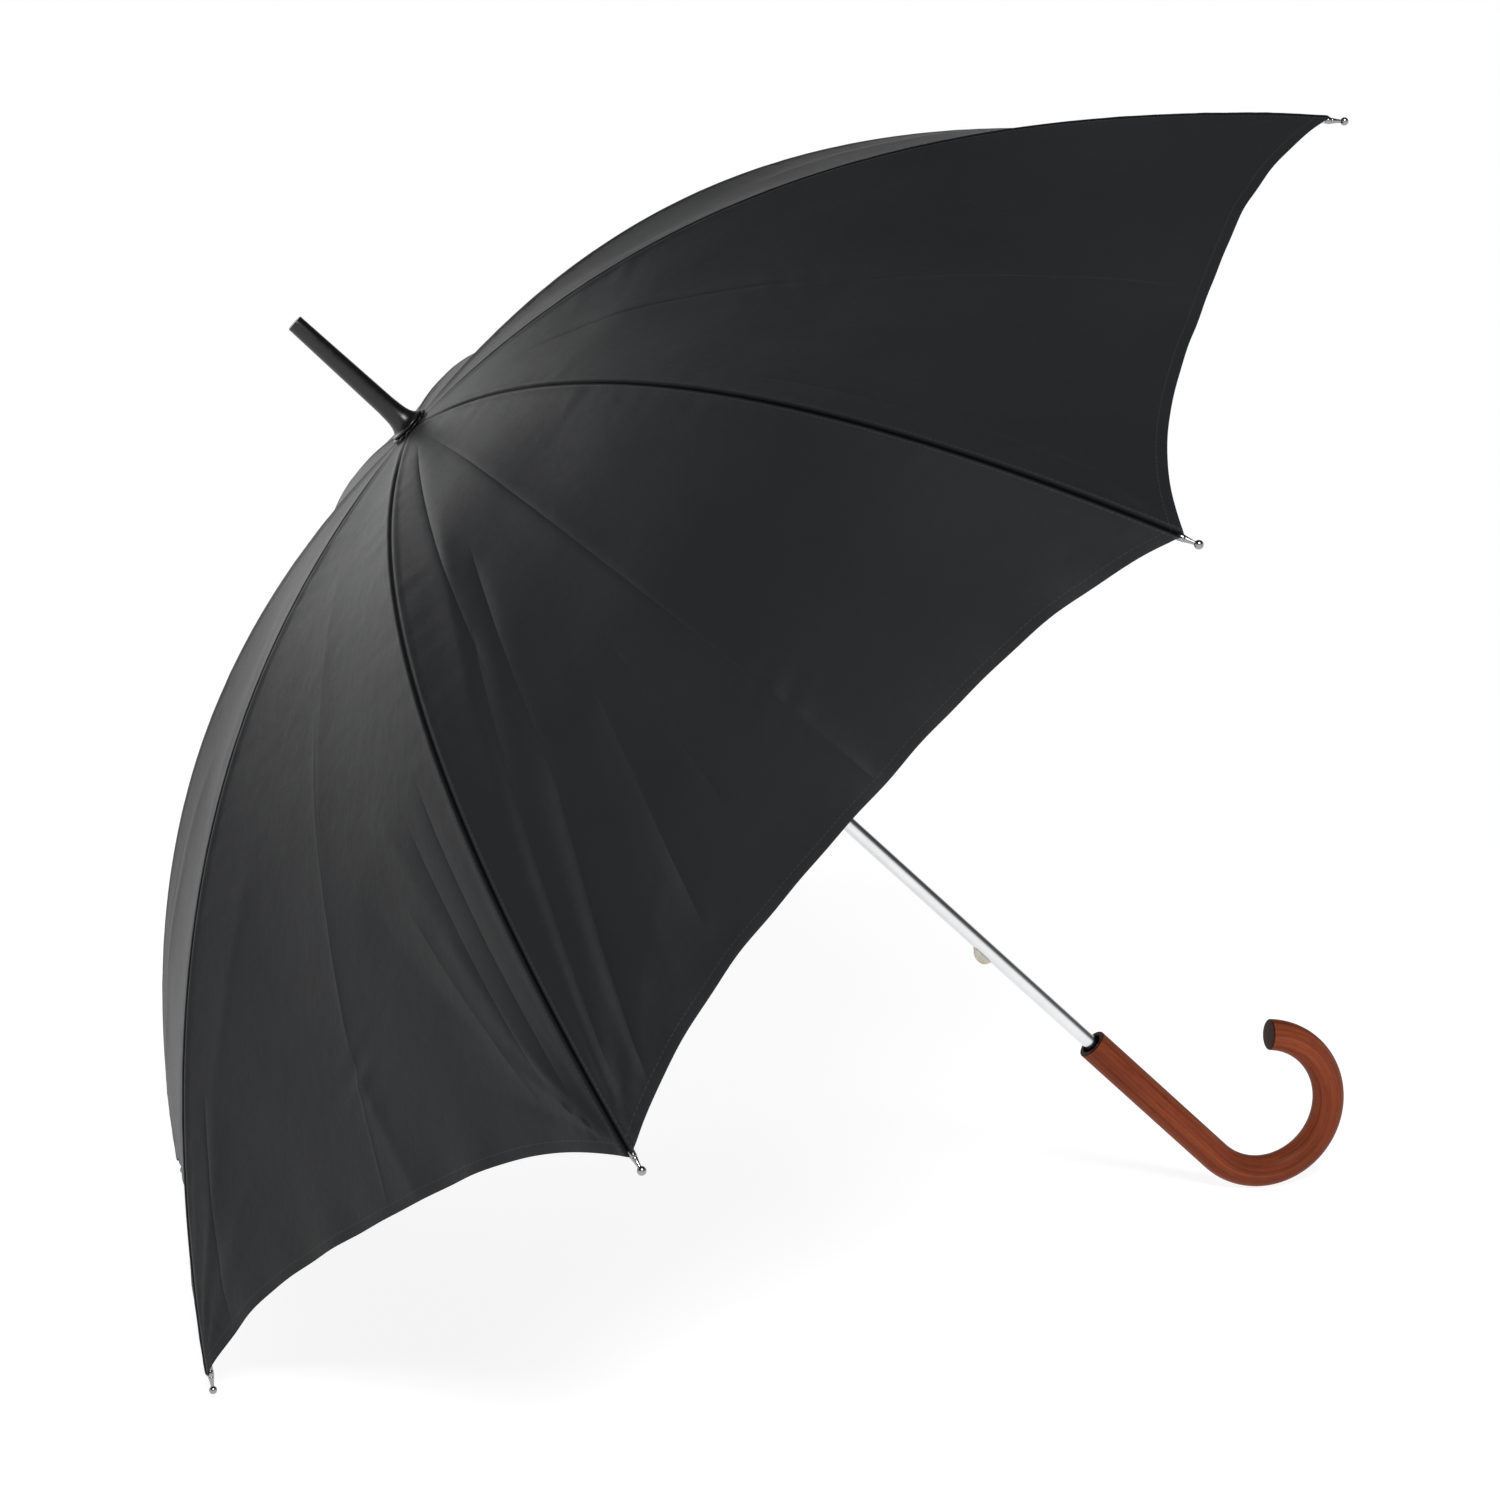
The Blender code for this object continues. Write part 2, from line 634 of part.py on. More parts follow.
def rib_set(parent, rib_mat, tip_mat):
    frame = rib_frame()
    inner, outer = rib_inner_mesh(), rib_outer_mesh()
    tip, stretcher = rib_tip_mesh(), stretcher_mesh()
    for index in range(RIBS):
        number, turn = index + 1, azimuth(index)
        place(f"rib_{number}_inner", inner, rib_mat, parent, NOTCH_PIVOT, turn)
        place(f"rib_{number}_outer", outer, rib_mat, parent, frame["flex"], turn)
        place(f"rib_{number}_tip", tip, tip_mat, parent, frame["flex"], turn)
        place(f"stretcher_{number}", stretcher, rib_mat, parent, frame["runner"], turn)


# --- canopy ---------------------------------------------------------------------------------------


def patch_mesh(name, shares, columns, lift, thickness):
    """A thin curved solid over part of a panel, between two rows of radius shares."""
    bm = bmesh.new()
    sheets = []
    for offset in (lift - thickness / 2, lift + thickness / 2):
        sheets.append([[bm.verts.new(canopy_point(s, a, offset)) for a in columns] for s in shares])
    last_row, last_column = len(shares) - 1, len(columns) - 1
    for rows in sheets:
        for i in range(last_row):
            for j in range(last_column):
                bm.faces.new((rows[i][j], rows[i][j + 1], rows[i + 1][j + 1], rows[i + 1][j]))
    low, high = sheets
    for j in range(last_column):
        for i in (0, last_row):
            bm.faces.new((low[i][j], low[i][j + 1], high[i][j + 1], high[i][j]))
    for i in range(last_row):
        for j in (0, last_column):
            bm.faces.new((low[i][j], low[i + 1][j], high[i + 1][j], high[i][j]))
    return finished(bm, name, round_shape=True)


def canopy(parent, fabric):
    """Eight panels, each from rib to rib."""
    inner = CANOPY_HOLE / CANOPY_RADIUS
    shares = [inner + (1 - inner) * i / PANEL_ROWS for i in range(PANEL_ROWS + 1)]
    columns = [-1 + 2 * i / PANEL_COLUMNS for i in range(PANEL_COLUMNS + 1)]
    mesh = patch_mesh("canopy_panel", shares, columns, 0, CANOPY_THICKNESS)
    for index in range(RIBS):
        place(f"canopy_panel_{index + 1}", mesh, fabric, parent, azimuth=2 * (index + 1) * HALF_PANEL)


def tie_strap(parent, fabric, snap_mat):
    """The strap on the outside of one panel, and its press stud, set square to the cloth."""
    turn = 2 * STRAP_PANEL * HALF_PANEL
    half = STRAP_WIDTH_SHARE / 2
    shares = [STRAP_RADIUS_SHARE - half, STRAP_RADIUS_SHARE, STRAP_RADIUS_SHARE + half]
    step = (STRAP_END - STRAP_ROOT) / (STRAP_COLUMNS - 1)
    columns = [STRAP_ROOT + step * i for i in range(STRAP_COLUMNS)]
    lift = CANOPY_THICKNESS / 2 + STRAP_LIFT
    band = patch_mesh("tie_strap", shares, columns, lift, STRAP_THICKNESS)
    place("tie_strap", band, fabric, parent, azimuth=turn)

    centre = canopy_point(STRAP_RADIUS_SHARE, SNAP_PLACE, lift)
    along = canopy_point(STRAP_RADIUS_SHARE + 0.005, SNAP_PLACE, lift) - centre
    sideways = canopy_point(STRAP_RADIUS_SHARE, SNAP_PLACE + 0.02, lift) - centre
    out = along.cross(sideways).normalized()
    centre += (STRAP_THICKNESS / 2 + 5 * GAP / 3) * out
    dome = [(0, 0), (SNAP_RADIUS, 0), (SNAP_RADIUS, 0.0006), (0.0040, 0.0015), (0, 0.0018)]
    snap = turned("tie_strap_snap", dome, 16)
    snap.transform(Vector((0, 0, 1)).rotation_difference(out).to_matrix().to_4x4())
    place("tie_strap_snap", snap, snap_mat, parent, centre, turn)


# --- the whole umbrella ---------------------------------------------------------------------------


def lay_on_floor(umbrella):
    """Leans the umbrella over and moves it so that its box stands on the origin."""
    umbrella.rotation_euler = (0, -lean(), 0)
    bpy.context.view_layer.update()
    low, high = Vector((1e9,) * 3), Vector((-1e9,) * 3)
    for obj in umbrella.children:
        for vertex in obj.data.vertices:
            point = obj.matrix_world @ vertex.co
            low = Vector(map(min, low, point))
            high = Vector(map(max, high, point))
    umbrella.location = (-(low.x + high.x) / 2, -(low.y + high.y) / 2, -low.z)
    bpy.context.view_layer.update()


def main():
    clear_scene()
    umbrella = bpy.data.objects.new("umbrella", None)
    bpy.context.collection.objects.link(umbrella)
    black_plastic = material("gloss_black_plastic", (0.012, 0.012, 0.013), 0.28)
    satin_plastic = material("satin_black_plastic", (0.02, 0.02, 0.021), 0.45)
    steel = material("plated_steel", (0.62, 0.62, 0.63), 0.32, 1.0)
    bright = material("bright_metal", (0.86, 0.86, 0.87), 0.16, 1.0)
    tube = material("polished_tube", (0.84, 0.85, 0.86), 0.2, 1.0)
    nylon = material("ivory_nylon", (0.74, 0.71, 0.62), 0.4)
    wood = material("cherry_wood", (0.20, 0.062, 0.028), 0.38)
    fabric = material("black_fabric", (0.014, 0.015, 0.017), 0.7)

    shaft(umbrella, tube)
    runner_stop_pin(umbrella, steel)
    ferrule(umbrella, black_plastic)
    canopy_washer(umbrella, black_plastic)
    top_notch(umbrella, satin_plastic)
    place("notch_wire", wire_ring("notch_wire", NOTCH_PIVOT.x, 0), steel, umbrella, (0, 0, NOTCH_PIVOT.z))
    handle(umbrella, wood)
    for name, height in catch_heights().items():
        spring_catch(name, height, umbrella, nylon)
    runner(umbrella, satin_plastic, steel)
    rib_set(umbrella, steel, bright)
    canopy(umbrella, fabric)
    tie_strap(umbrella, fabric, bright)
    lay_on_floor(umbrella)


main()
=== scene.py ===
"""The looks of an open stick umbrella that lies on a pale floor.

Shapes are worked out upright about the shaft, as in the CAD: the origin is the canopy's apex, +Z runs
to the ferrule, and the crook turns towards +X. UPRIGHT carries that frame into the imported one. Soft and
springy pieces hold two shapes, open and furled, and mix them as the runner slides. Lengths are metres.
"""

import json
import math

import bmesh
import bpy
import numpy as np
from mathutils import Matrix, Vector

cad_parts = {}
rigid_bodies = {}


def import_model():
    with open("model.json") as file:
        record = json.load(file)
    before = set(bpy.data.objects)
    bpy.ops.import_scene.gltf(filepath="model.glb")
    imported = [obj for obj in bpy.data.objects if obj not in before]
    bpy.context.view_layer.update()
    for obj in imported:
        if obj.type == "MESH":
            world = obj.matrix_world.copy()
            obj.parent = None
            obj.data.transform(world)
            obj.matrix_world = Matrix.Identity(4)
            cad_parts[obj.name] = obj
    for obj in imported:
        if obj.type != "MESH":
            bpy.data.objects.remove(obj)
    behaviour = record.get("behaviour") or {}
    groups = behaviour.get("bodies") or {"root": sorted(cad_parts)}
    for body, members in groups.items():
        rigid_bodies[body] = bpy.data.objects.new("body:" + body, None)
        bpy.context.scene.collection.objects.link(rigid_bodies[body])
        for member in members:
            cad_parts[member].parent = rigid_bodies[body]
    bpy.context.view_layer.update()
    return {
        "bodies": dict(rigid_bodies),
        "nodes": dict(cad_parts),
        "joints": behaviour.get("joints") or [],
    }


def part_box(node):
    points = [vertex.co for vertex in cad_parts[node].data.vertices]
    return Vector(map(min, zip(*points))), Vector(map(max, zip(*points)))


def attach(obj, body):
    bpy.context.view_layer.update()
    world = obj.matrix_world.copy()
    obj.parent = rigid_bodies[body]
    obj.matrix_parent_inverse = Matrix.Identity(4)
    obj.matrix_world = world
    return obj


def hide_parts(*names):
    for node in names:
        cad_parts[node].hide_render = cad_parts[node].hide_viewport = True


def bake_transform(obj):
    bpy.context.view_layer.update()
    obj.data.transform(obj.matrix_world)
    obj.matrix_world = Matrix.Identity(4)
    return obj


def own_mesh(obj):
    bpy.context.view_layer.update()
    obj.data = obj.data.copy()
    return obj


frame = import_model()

BODIES = frame["bodies"]
JOINTS = {joint["name"]: joint for joint in frame["joints"]}

# Canopy; these dimensions are the same as the CAD's
RIBS = 8
CANOPY_RADIUS = 0.507
CANOPY_DEPTH = 0.238
CANOPY_POWER = 2.33
CANOPY_HOLE = 0.0056
HEM_SCALLOP = 0.020
HEM_FLATNESS = 3.5
PANEL_SAG = 0.009
HALF_PANEL = math.pi / RIBS
RIB_BELOW_FABRIC = 0.0029
NOTCH_BELOW_APEX = 0.0052
# Shaft, handle and ferrule
SHAFT_RADIUS = 0.0048
SHAFT_BORE = 0.0041
SHAFT_TOP = 0.028
HANDLE_TOP = -0.595
HANDLE_STRAIGHT = 0.121
HANDLE_RADIUS = 0.0103
CROOK_RADIUS = 0.0468
CROOK_SWEEP = math.radians(218)
SHAFT_IN_HANDLE = 0.055
FERRULE_TIP = 0.092
FERRULE_BASE = 0.0023
FERRULE_RADIUS = 0.0052
FLANGE_RADIUS = 0.0117
# Runner, stretchers and catches
RUNNER_PIVOT_RADIUS = 0.0095
RUNNER_BORE = 0.0052
RUNNER_SLEEVE = 0.0075
RUNNER_HUB = 0.0126
RUNNER_BELOW_PIVOT = 0.056
STRETCHER_SIDE = 0.0033
EAR_DROP = 0.0036
CATCH_LENGTH = 0.016
CATCH_PROUD = 0.005
CATCH_WIDTH = 0.0024
# Ribs, open and closed
FLEX_RADIUS = 0.200
CLOSED_FLEX_RADIUS = 0.0165
CLOSED_TIP_RADIUS = 0.0185
WIRE_RADIUS = 0.0006
TIP_BALL = 0.0023
TIP_LENGTH = 0.0105
# Tie strap: shares of the rib's radius, and places across its panel
STRAP_RADIUS_SHARE = 0.80
STRAP_WIDTH_SHARE = 0.040
STRAP_PANEL = 2
STRAP_ROOT = -0.08
STRAP_END = 0.97
SNAP_PLACE = 0.86
# Play between fitted pieces
GAP = 0.0003

TRAVEL = JOINTS["runner_slide"]["range_m"][1]
RANDOM_SEED = 11


# --- frames ---


def upright_matrix():
    """From the upright frame to the row frame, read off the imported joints."""
    up = -Vector(JOINTS["runner_slide"]["axis"]).normalized()
    crook_side = Vector(JOINTS["top_catch_press"]["axis"]).normalized()
    hinges = [Vector(JOINTS[f"rib_{number}_hinge"]["pos_m"]) for number in range(1, RIBS + 1)]
    apex = sum(hinges, Vector()) / RIBS + NOTCH_BELOW_APEX * up
    turn = Matrix((crook_side, up.cross(crook_side), up)).transposed().to_4x4()
    return Matrix.Translation(apex) @ turn


UPRIGHT = upright_matrix()
TO_UPRIGHT = UPRIGHT.inverted()


def azimuth(number):
    """The azimuth of a rib, numbered from 1."""
    return (2 * number - 1) * HALF_PANEL


def rib_plane_point(joint):
    """A joint's place as (radius, 0, height) in its rib's plane."""
    point = TO_UPRIGHT @ Vector(JOINTS[joint]["pos_m"])
    return Vector((math.hypot(point.x, point.y), 0, point.z))


NOTCH_PIVOT = rib_plane_point("rib_1_hinge")
FLEX = rib_plane_point("rib_1_flex")
RUNNER_PIVOT = Vector((RUNNER_PIVOT_RADIUS, 0, rib_plane_point("stretcher_1_hinge").z))


def joint_turn(name, share=1.0):
    """The matrix of a hinge turned to a share of its limit, in the row frame."""
    joint = JOINTS[name]
    angle = math.radians(max(joint["range_deg"], key=abs)) * share
    pivot = Vector(joint["pos_m"])
    turn = Matrix.Rotation(angle, 4, Vector(joint["axis"]))
    return Matrix.Translation(pivot) @ turn @ Matrix.Translation(-pivot)


def closed_body(number, part):
    """Where a rib's body is when the umbrella is closed, in the row frame."""
    inner = joint_turn(f"rib_{number}_hinge")
    return inner if part == "inner" else inner @ joint_turn(f"rib_{number}_flex")


def moved(points, matrix):
    points = np.asarray(points, float).reshape(-1, 3)
    matrix = np.array(matrix, float)
    return points @ matrix[:3, :3].T + matrix[:3, 3]


def turned_to(points, angle):
    """Points of the upright frame turned about the shaft."""
    return moved(points, Matrix.Rotation(angle, 4, "Z"))


# --- the canopy's curve ---


def meridian(radius, below=0.0):
    """A point of a rib's curve in the rib plane, a distance below the fabric."""
    share = radius / CANOPY_RADIUS
    slope = CANOPY_POWER * CANOPY_DEPTH / CANOPY_RADIUS * share ** (CANOPY_POWER - 1)
    normal = Vector((slope, 0, 1)).normalized()
    return Vector((radius, 0, -CANOPY_DEPTH * share**CANOPY_POWER)) - below * normal


ARC_SHARES = np.linspace(0, 1, 400)
ARC_SLOPES = CANOPY_POWER * CANOPY_DEPTH * ARC_SHARES ** (CANOPY_POWER - 1)
ARC_SPEEDS = np.hypot(CANOPY_RADIUS, ARC_SLOPES)
ARC_STEPS = (ARC_SPEEDS[1:] + ARC_SPEEDS[:-1]) / 2 * np.diff(ARC_SHARES)
ARC_LENGTHS = np.concatenate([[0], np.cumsum(ARC_STEPS)])
RIB_ARC = float(ARC_LENGTHS[-1])
HALF_WIDTH = CANOPY_RADIUS * math.sin(HALF_PANEL)


def arc_length(share):
    """Length along a rib's curve from the apex."""
    return np.interp(share, ARC_SHARES, ARC_LENGTHS)


def canopy_points(share, across, lift):
    """Points of the panel about azimuth 0: share of the rib's radius, across from -1 to 1."""
    cut = HEM_SCALLOP * (1 - np.abs(across) ** HEM_FLATNESS) * share**4
    share = share - cut / (CANOPY_RADIUS * math.cos(HALF_PANEL))
    slope = CANOPY_POWER * CANOPY_DEPTH / CANOPY_RADIUS * share ** (CANOPY_POWER - 1)
    turn = across * HALF_PANEL
    normal = np.stack([slope * np.cos(turn), slope * np.sin(turn), np.ones_like(turn)], axis=-1)
    normal /= np.linalg.norm(normal, axis=-1, keepdims=True)
    radius = share * CANOPY_RADIUS
    height = -CANOPY_DEPTH * share**CANOPY_POWER
    side = across * radius * math.sin(HALF_PANEL)
    points = np.stack([radius * math.cos(HALF_PANEL), side, height], axis=-1)
    sag = PANEL_SAG * np.sin(math.pi * 0.85 * share) ** 2 * (1 - across**2)
    return points + (lift - sag)[..., None] * normal


# --- mesh and object helpers ---


def node(tree, kind, inputs=None, **settings):
    """Adds a shader node; inputs are values or sockets to link from."""
    made = tree.nodes.new(kind)
    for key, value in settings.items():
        setattr(made, key, value)
    for socket, value in (inputs or {}).items():
        if isinstance(value, bpy.types.NodeSocket):
            tree.links.new(value, made.inputs[socket])
        else:
            made.inputs[socket].default_value = value
    return made


def material(name, roughness, metallic=0.0, **sockets):
    """A Principled material and its tree; sockets sets what is the same all over."""
    mat = bpy.data.materials.new(name)
    mat.use_nodes = True
    shader = mat.node_tree.nodes["Principled BSDF"]
    shader.inputs["Roughness"].default_value = roughness
    shader.inputs["Metallic"].default_value = metallic
    for socket, value in sockets.items():
        shader.inputs[socket.replace("_", " ")].default_value = value
    return mat, mat.node_tree, shader


def ramp(tree, factor, stops):
    """A colour ramp from (position, grey or colour) stops."""
    made = node(tree, "ShaderNodeValToRGB", {"Fac": factor})
    elements = made.color_ramp.elements
    while len(elements) < len(stops):
        elements.new(0.5)
    for element, (position, colour) in zip(elements, stops):
        element.position = position
        element.color = (*colour, 1) if isinstance(colour, tuple) else (colour, colour, colour, 1)
    return made.outputs["Color"]


def noise(tree, vector, scale, detail=2.0, rough=0.5):
    inputs = {"Vector": vector, "Scale": scale, "Detail": detail, "Roughness": rough}
    return node(tree, "ShaderNodeTexNoise", inputs).outputs["Fac"]


def stretched_noise(tree, vector, scale, detail, rough=0.5):
    """Noise with a scale of its own along each axis."""
    mapped = node(tree, "ShaderNodeMapping", {"Vector": vector, "Scale": scale})
    return noise(tree, mapped.outputs["Vector"], 1.0, detail, rough)


def bump(tree, height, distance, strength=1.0, normal=None):
    inputs = {"Height": height, "Distance": distance, "Strength": strength}
    if normal is not None:
        inputs["Normal"] = normal
    return node(tree, "ShaderNodeBump", inputs).outputs["Normal"]


def value_between(tree, factor, low, high):
    inputs = {"Value": factor, "To Min": low, "To Max": high}
    return node(tree, "ShaderNodeMapRange", inputs).outputs["Result"]


def smooth_between(tree, value, start, end, low=0.0, high=1.0):
    inputs = {"Value": value, "From Min": start, "From Max": end, "To Min": low, "To Max": high}
    made = node(tree, "ShaderNodeMapRange", inputs, interpolation_type="SMOOTHSTEP")
    return made.outputs["Result"]


def maths(tree, operation, *inputs):
    return node(tree, "ShaderNodeMath", dict(enumerate(inputs)), operation=operation).outputs[0]


def vector_maths(tree, operation, output, *inputs):
    made = node(tree, "ShaderNodeVectorMath", dict(enumerate(inputs)), operation=operation)
    return made.outputs[output]


def wave(tree, value, pitch):
    """A sine that repeats after a pitch."""
    return maths(tree, "SINE", maths(tree, "MULTIPLY", value, 2 * math.pi / pitch))


def layered(tree, factor, below, above, blend="MIX"):
    """Two colours, mixed by a factor."""
    inputs = {0: factor, 6: below, 7: above}
    return node(tree, "ShaderNodeMix", inputs, data_type="RGBA", blend_type=blend).outputs[2]


def painted(tree, name):
    """The value that a mesh holds for each point under a name."""
    return node(tree, "ShaderNodeAttribute", attribute_name=name).outputs["Fac"]


def uv_place(tree, name):
    return node(tree, "ShaderNodeUVMap", uv_map=name).outputs["UV"]


def object_place(tree):
    return node(tree, "ShaderNodeTexCoord").outputs["Object"]


def feed(shader, **outputs):
    """Links outputs to a shader's inputs; an underscore stands for a space in an input's name."""
    for name, output in outputs.items():
        shader.id_data.links.new(output, shader.inputs[name.replace("_", " ")])


def shade(mesh, angle):
    """Smooth shading with sharp edges above an angle in degrees."""
    mesh.shade_smooth()
    mesh.set_sharp_from_angle(angle=math.radians(angle))


def smooth_mesh(name, points, faces):
    """A mesh in the row frame from upright points."""
    mesh = bpy.data.meshes.new(name)
    mesh.from_pydata(moved(points, UPRIGHT).tolist(), [], faces)
    mesh.shade_smooth()
    return mesh


def face_out(mesh, merge=0.0):
    """Turns a closed mesh's faces out, after merging points closer than a distance."""
    bm = bmesh.new()
    bm.from_mesh(mesh)
    if merge:
        bmesh.ops.remove_doubles(bm, verts=bm.verts, dist=merge)
    bmesh.ops.recalc_face_normals(bm, faces=bm.faces)
    bm.to_mesh(mesh)
    bm.free()


def mesh_from(name, points, faces, smooth=35.0):
    """A closed mesh in the row frame from upright points."""
    mesh = smooth_mesh(name, points, faces)
    face_out(mesh)
    shade(mesh, smooth)
    return mesh


def linked(name, data):
    """A new object in the scene."""
    obj = bpy.data.objects.new(name, data)
    bpy.context.scene.collection.objects.link(obj)
    return obj


def piece(name, mesh, mat, slot, body, *nodes):
    """An object that rides on a body and stands for CAD nodes."""
    obj = linked(name, mesh)
    mesh.materials.clear()
    mesh.materials.append(mat)
    if body:
        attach(obj, body)
    if nodes:
        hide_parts(*nodes)
    return obj


def bevelled(obj, width, segments=2, angle=40.0):
    """Rounds a piece's edges."""
    modifier = obj.modifiers.new("bevel", "BEVEL")
    modifier.width = width
    modifier.segments = segments
    modifier.limit_method = "ANGLE"
    modifier.angle_limit = math.radians(angle)
    modifier.harden_normals = True


def turned(profile, segments=48):
    """Points and faces of a turned shape from (radius, height) points; radius 0 closes an end."""
    points, rings = [], []
    for radius, height in profile:
        count = 1 if radius == 0 else segments
        start = len(points)
        for i in range(count):
            turn = 2 * math.pi * i / segments
            points.append((radius * math.cos(turn), radius * math.sin(turn), height))
        rings.append([start + i for i in range(count)])
    pairs = list(zip(rings, rings[1:]))
    if profile[0][0] > 0:
        pairs.append((rings[-1], rings[0]))
    faces = []
    for low, high in pairs:
        for i in range(segments):
            j = (i + 1) % segments
            corners = [low[i % len(low)], low[j % len(low)], high[j % len(high)], high[i % len(high)]]
            faces.append(list(dict.fromkeys(corners)))
    return points, faces


def lofted(rings, capped=True):
    """Points and faces of a tube through rings of points."""
    count = len(rings[0])
    points = [tuple(p) for ring in rings for p in ring]
    faces = []
    for k in range(len(rings) - 1):
        for i in range(count):
            j = (i + 1) % count
            faces.append([k * count + i, k * count + j, (k + 1) * count + j, (k + 1) * count + i])
    if capped:
        last = (len(rings) - 1) * count
        faces += [list(range(count)), list(range(last, last + count))]
    return points, faces


def plate(outline, y0, y1):
    """Points and faces of a plate: an outline of (x, z) points given thickness along Y."""
    return lofted([[(x, y, z) for x, z in outline] for y in (y0, y1)])


def block(low, high):
    ring = [(low[0], low[1]), (high[0], low[1]), (high[0], high[1]), (low[0], high[1])]
    return lofted([[(x, y, z) for x, y in ring] for z in (low[2], high[2])])


def rod(start, end, radius, segments=16):
    start, end = Vector(start), Vector(end)
    turn = (end - start).to_track_quat("Z", "Y").to_matrix()
    ring = [turn @ Vector((x, y, 0)) for x, y in arc((0, 0), radius, 0, 360, segments + 1)[:-1]]
    return lofted([[start + p for p in ring], [end + p for p in ring]])


def arc(centre, radius, start, end, count):
    angles = [math.radians(start + (end - start) * i / (count - 1)) for i in range(count)]
    return [(centre[0] + radius * math.cos(a), centre[1] + radius * math.sin(a)) for a in angles]


def joined(*shapes):
    """Several shapes as one list of points and one of faces."""
    points, faces = [], []
    for more_points, more_faces in shapes:
        start = len(points)
        points += [tuple(p) for p in more_points]
        faces += [[start + i for i in face] for face in more_faces]
    return points, faces


def spun(shape, angle):
    """A shape turned about the shaft."""
    return turned_to(shape[0], angle).tolist(), shape[1]


def shifted(shape, offset):
    return (np.asarray(shape[0], float) + np.asarray(offset, float)).tolist(), shape[1]


def cut_mesh(name, shape, cutters, smooth=35.0):
    """A shape's mesh less the cutters, in the row frame."""
    base = linked(name, mesh_from(name, *shape, smooth))
    helpers = []
    for k, cutter in enumerate(cutters):
        cutter_name = f"{name}_cutter_{k}"
        helpers.append(linked(cutter_name, mesh_from(cutter_name, *cutter)))
        modifier = base.modifiers.new("cut", "BOOLEAN")
        modifier.operation = "DIFFERENCE"
        modifier.object = helpers[-1]
    bpy.context.view_layer.update()
    depsgraph = bpy.context.evaluated_depsgraph_get()
    mesh = bpy.data.meshes.new_from_object(base.evaluated_get(depsgraph))
    mesh.name = name
    for obj in [base, *helpers]:
        bpy.data.objects.remove(obj)
    shade(mesh, smooth)
    return mesh


# --- two shapes in one piece ---


def furling_nodes():
    """Geometry nodes that mix a piece's open and furled places by how far the runner has slid."""
    tree = bpy.data.node_groups.new("furling", "GeometryNodeTree")
    for side in ("INPUT", "OUTPUT"):
        tree.interface.new_socket("Geometry", in_out=side, socket_type="NodeSocketGeometry")
    start = node(tree, "NodeGroupInput")
    end = node(tree, "NodeGroupOutput")
    runner = {"Object": BODIES["runner"]}
    runner = node(tree, "GeometryNodeObjectInfo", runner, transform_space="ORIGINAL")
    slid = vector_maths(tree, "LENGTH", "Value", runner.outputs["Location"])
    share = node(tree, "ShaderNodeMath", {0: slid, 1: TRAVEL}, operation="DIVIDE", use_clamp=True)
    places = []
    for name in ("open_place", "furled_place"):
        place = node(tree, "GeometryNodeInputNamedAttribute", {"Name": name}, data_type="FLOAT_VECTOR")
        places.append(place.outputs["Attribute"])
    mix = {0: share.outputs[0], 4: places[0], 5: places[1]}
    mix = node(tree, "ShaderNodeMix", mix, data_type="VECTOR")
    inputs = {"Geometry": start.outputs[0], "Position": mix.outputs[1]}
    put = node(tree, "GeometryNodeSetPosition", inputs)
    tree.links.new(put.outputs[0], end.inputs[0])
    return tree


def furls(obj, furled, body_matrix):
    """Gives a piece its furled shape: upright points at the closed pose, carried by a body's matrix."""
    mesh = obj.data
    count = len(mesh.vertices)
    places = np.zeros(count * 3)
    mesh.vertices.foreach_get("co", places)
    row = moved(moved(furled, UPRIGHT), body_matrix.inverted())
    for name, values in (("open_place", places), ("furled_place", row.ravel())):
        attribute = mesh.attributes.new(name, "FLOAT_VECTOR", "POINT")
        attribute.data.foreach_set("vector", values.astype(np.float32))
    obj.modifiers.new("furling", "NODES").node_group = FURLING


FURLING = furling_nodes()

# The furled roll: radius of the fabric at the ribs, by length from the apex, and its growth per radian
CROWN_EDGE = 0.0120
ROLL_LENGTHS = (0.0, CROWN_EDGE, 0.030, 0.210, 0.600)
ROLL_RADII = (0.0, CROWN_EDGE, 0.0140, 0.0196, 0.0216)
ROLL_GROWTH = 0.0009
WAIST_GROWTH = 0.0003
WAIST_REACH = 0.045
LAYER_GAP = 0.0004
# The cloth is folded flat over the crown's edge and stays below its top
FLAT_REACH = 0.2
ROLL_TOP = 0.0005
# A flap's length round the roll is measured at this distance outside the innermost layer
WRAP_RADIUS = 0.004
LAYER_RISE = 12
# Waves in the roll: height, count round it, and their slant in radians per metre
ROLL_WAVE = 0.0006
ROLL_WAVE_COUNT = 3
ROLL_WAVE_SLANT = 21


def roll_growth(length):
    """The roll is drawn in where the strap holds it."""
    near = (length - float(arc_length(STRAP_RADIUS_SHARE))) / WAIST_REACH
    return ROLL_GROWTH - (ROLL_GROWTH - WAIST_GROWTH) * np.exp(-near * near)


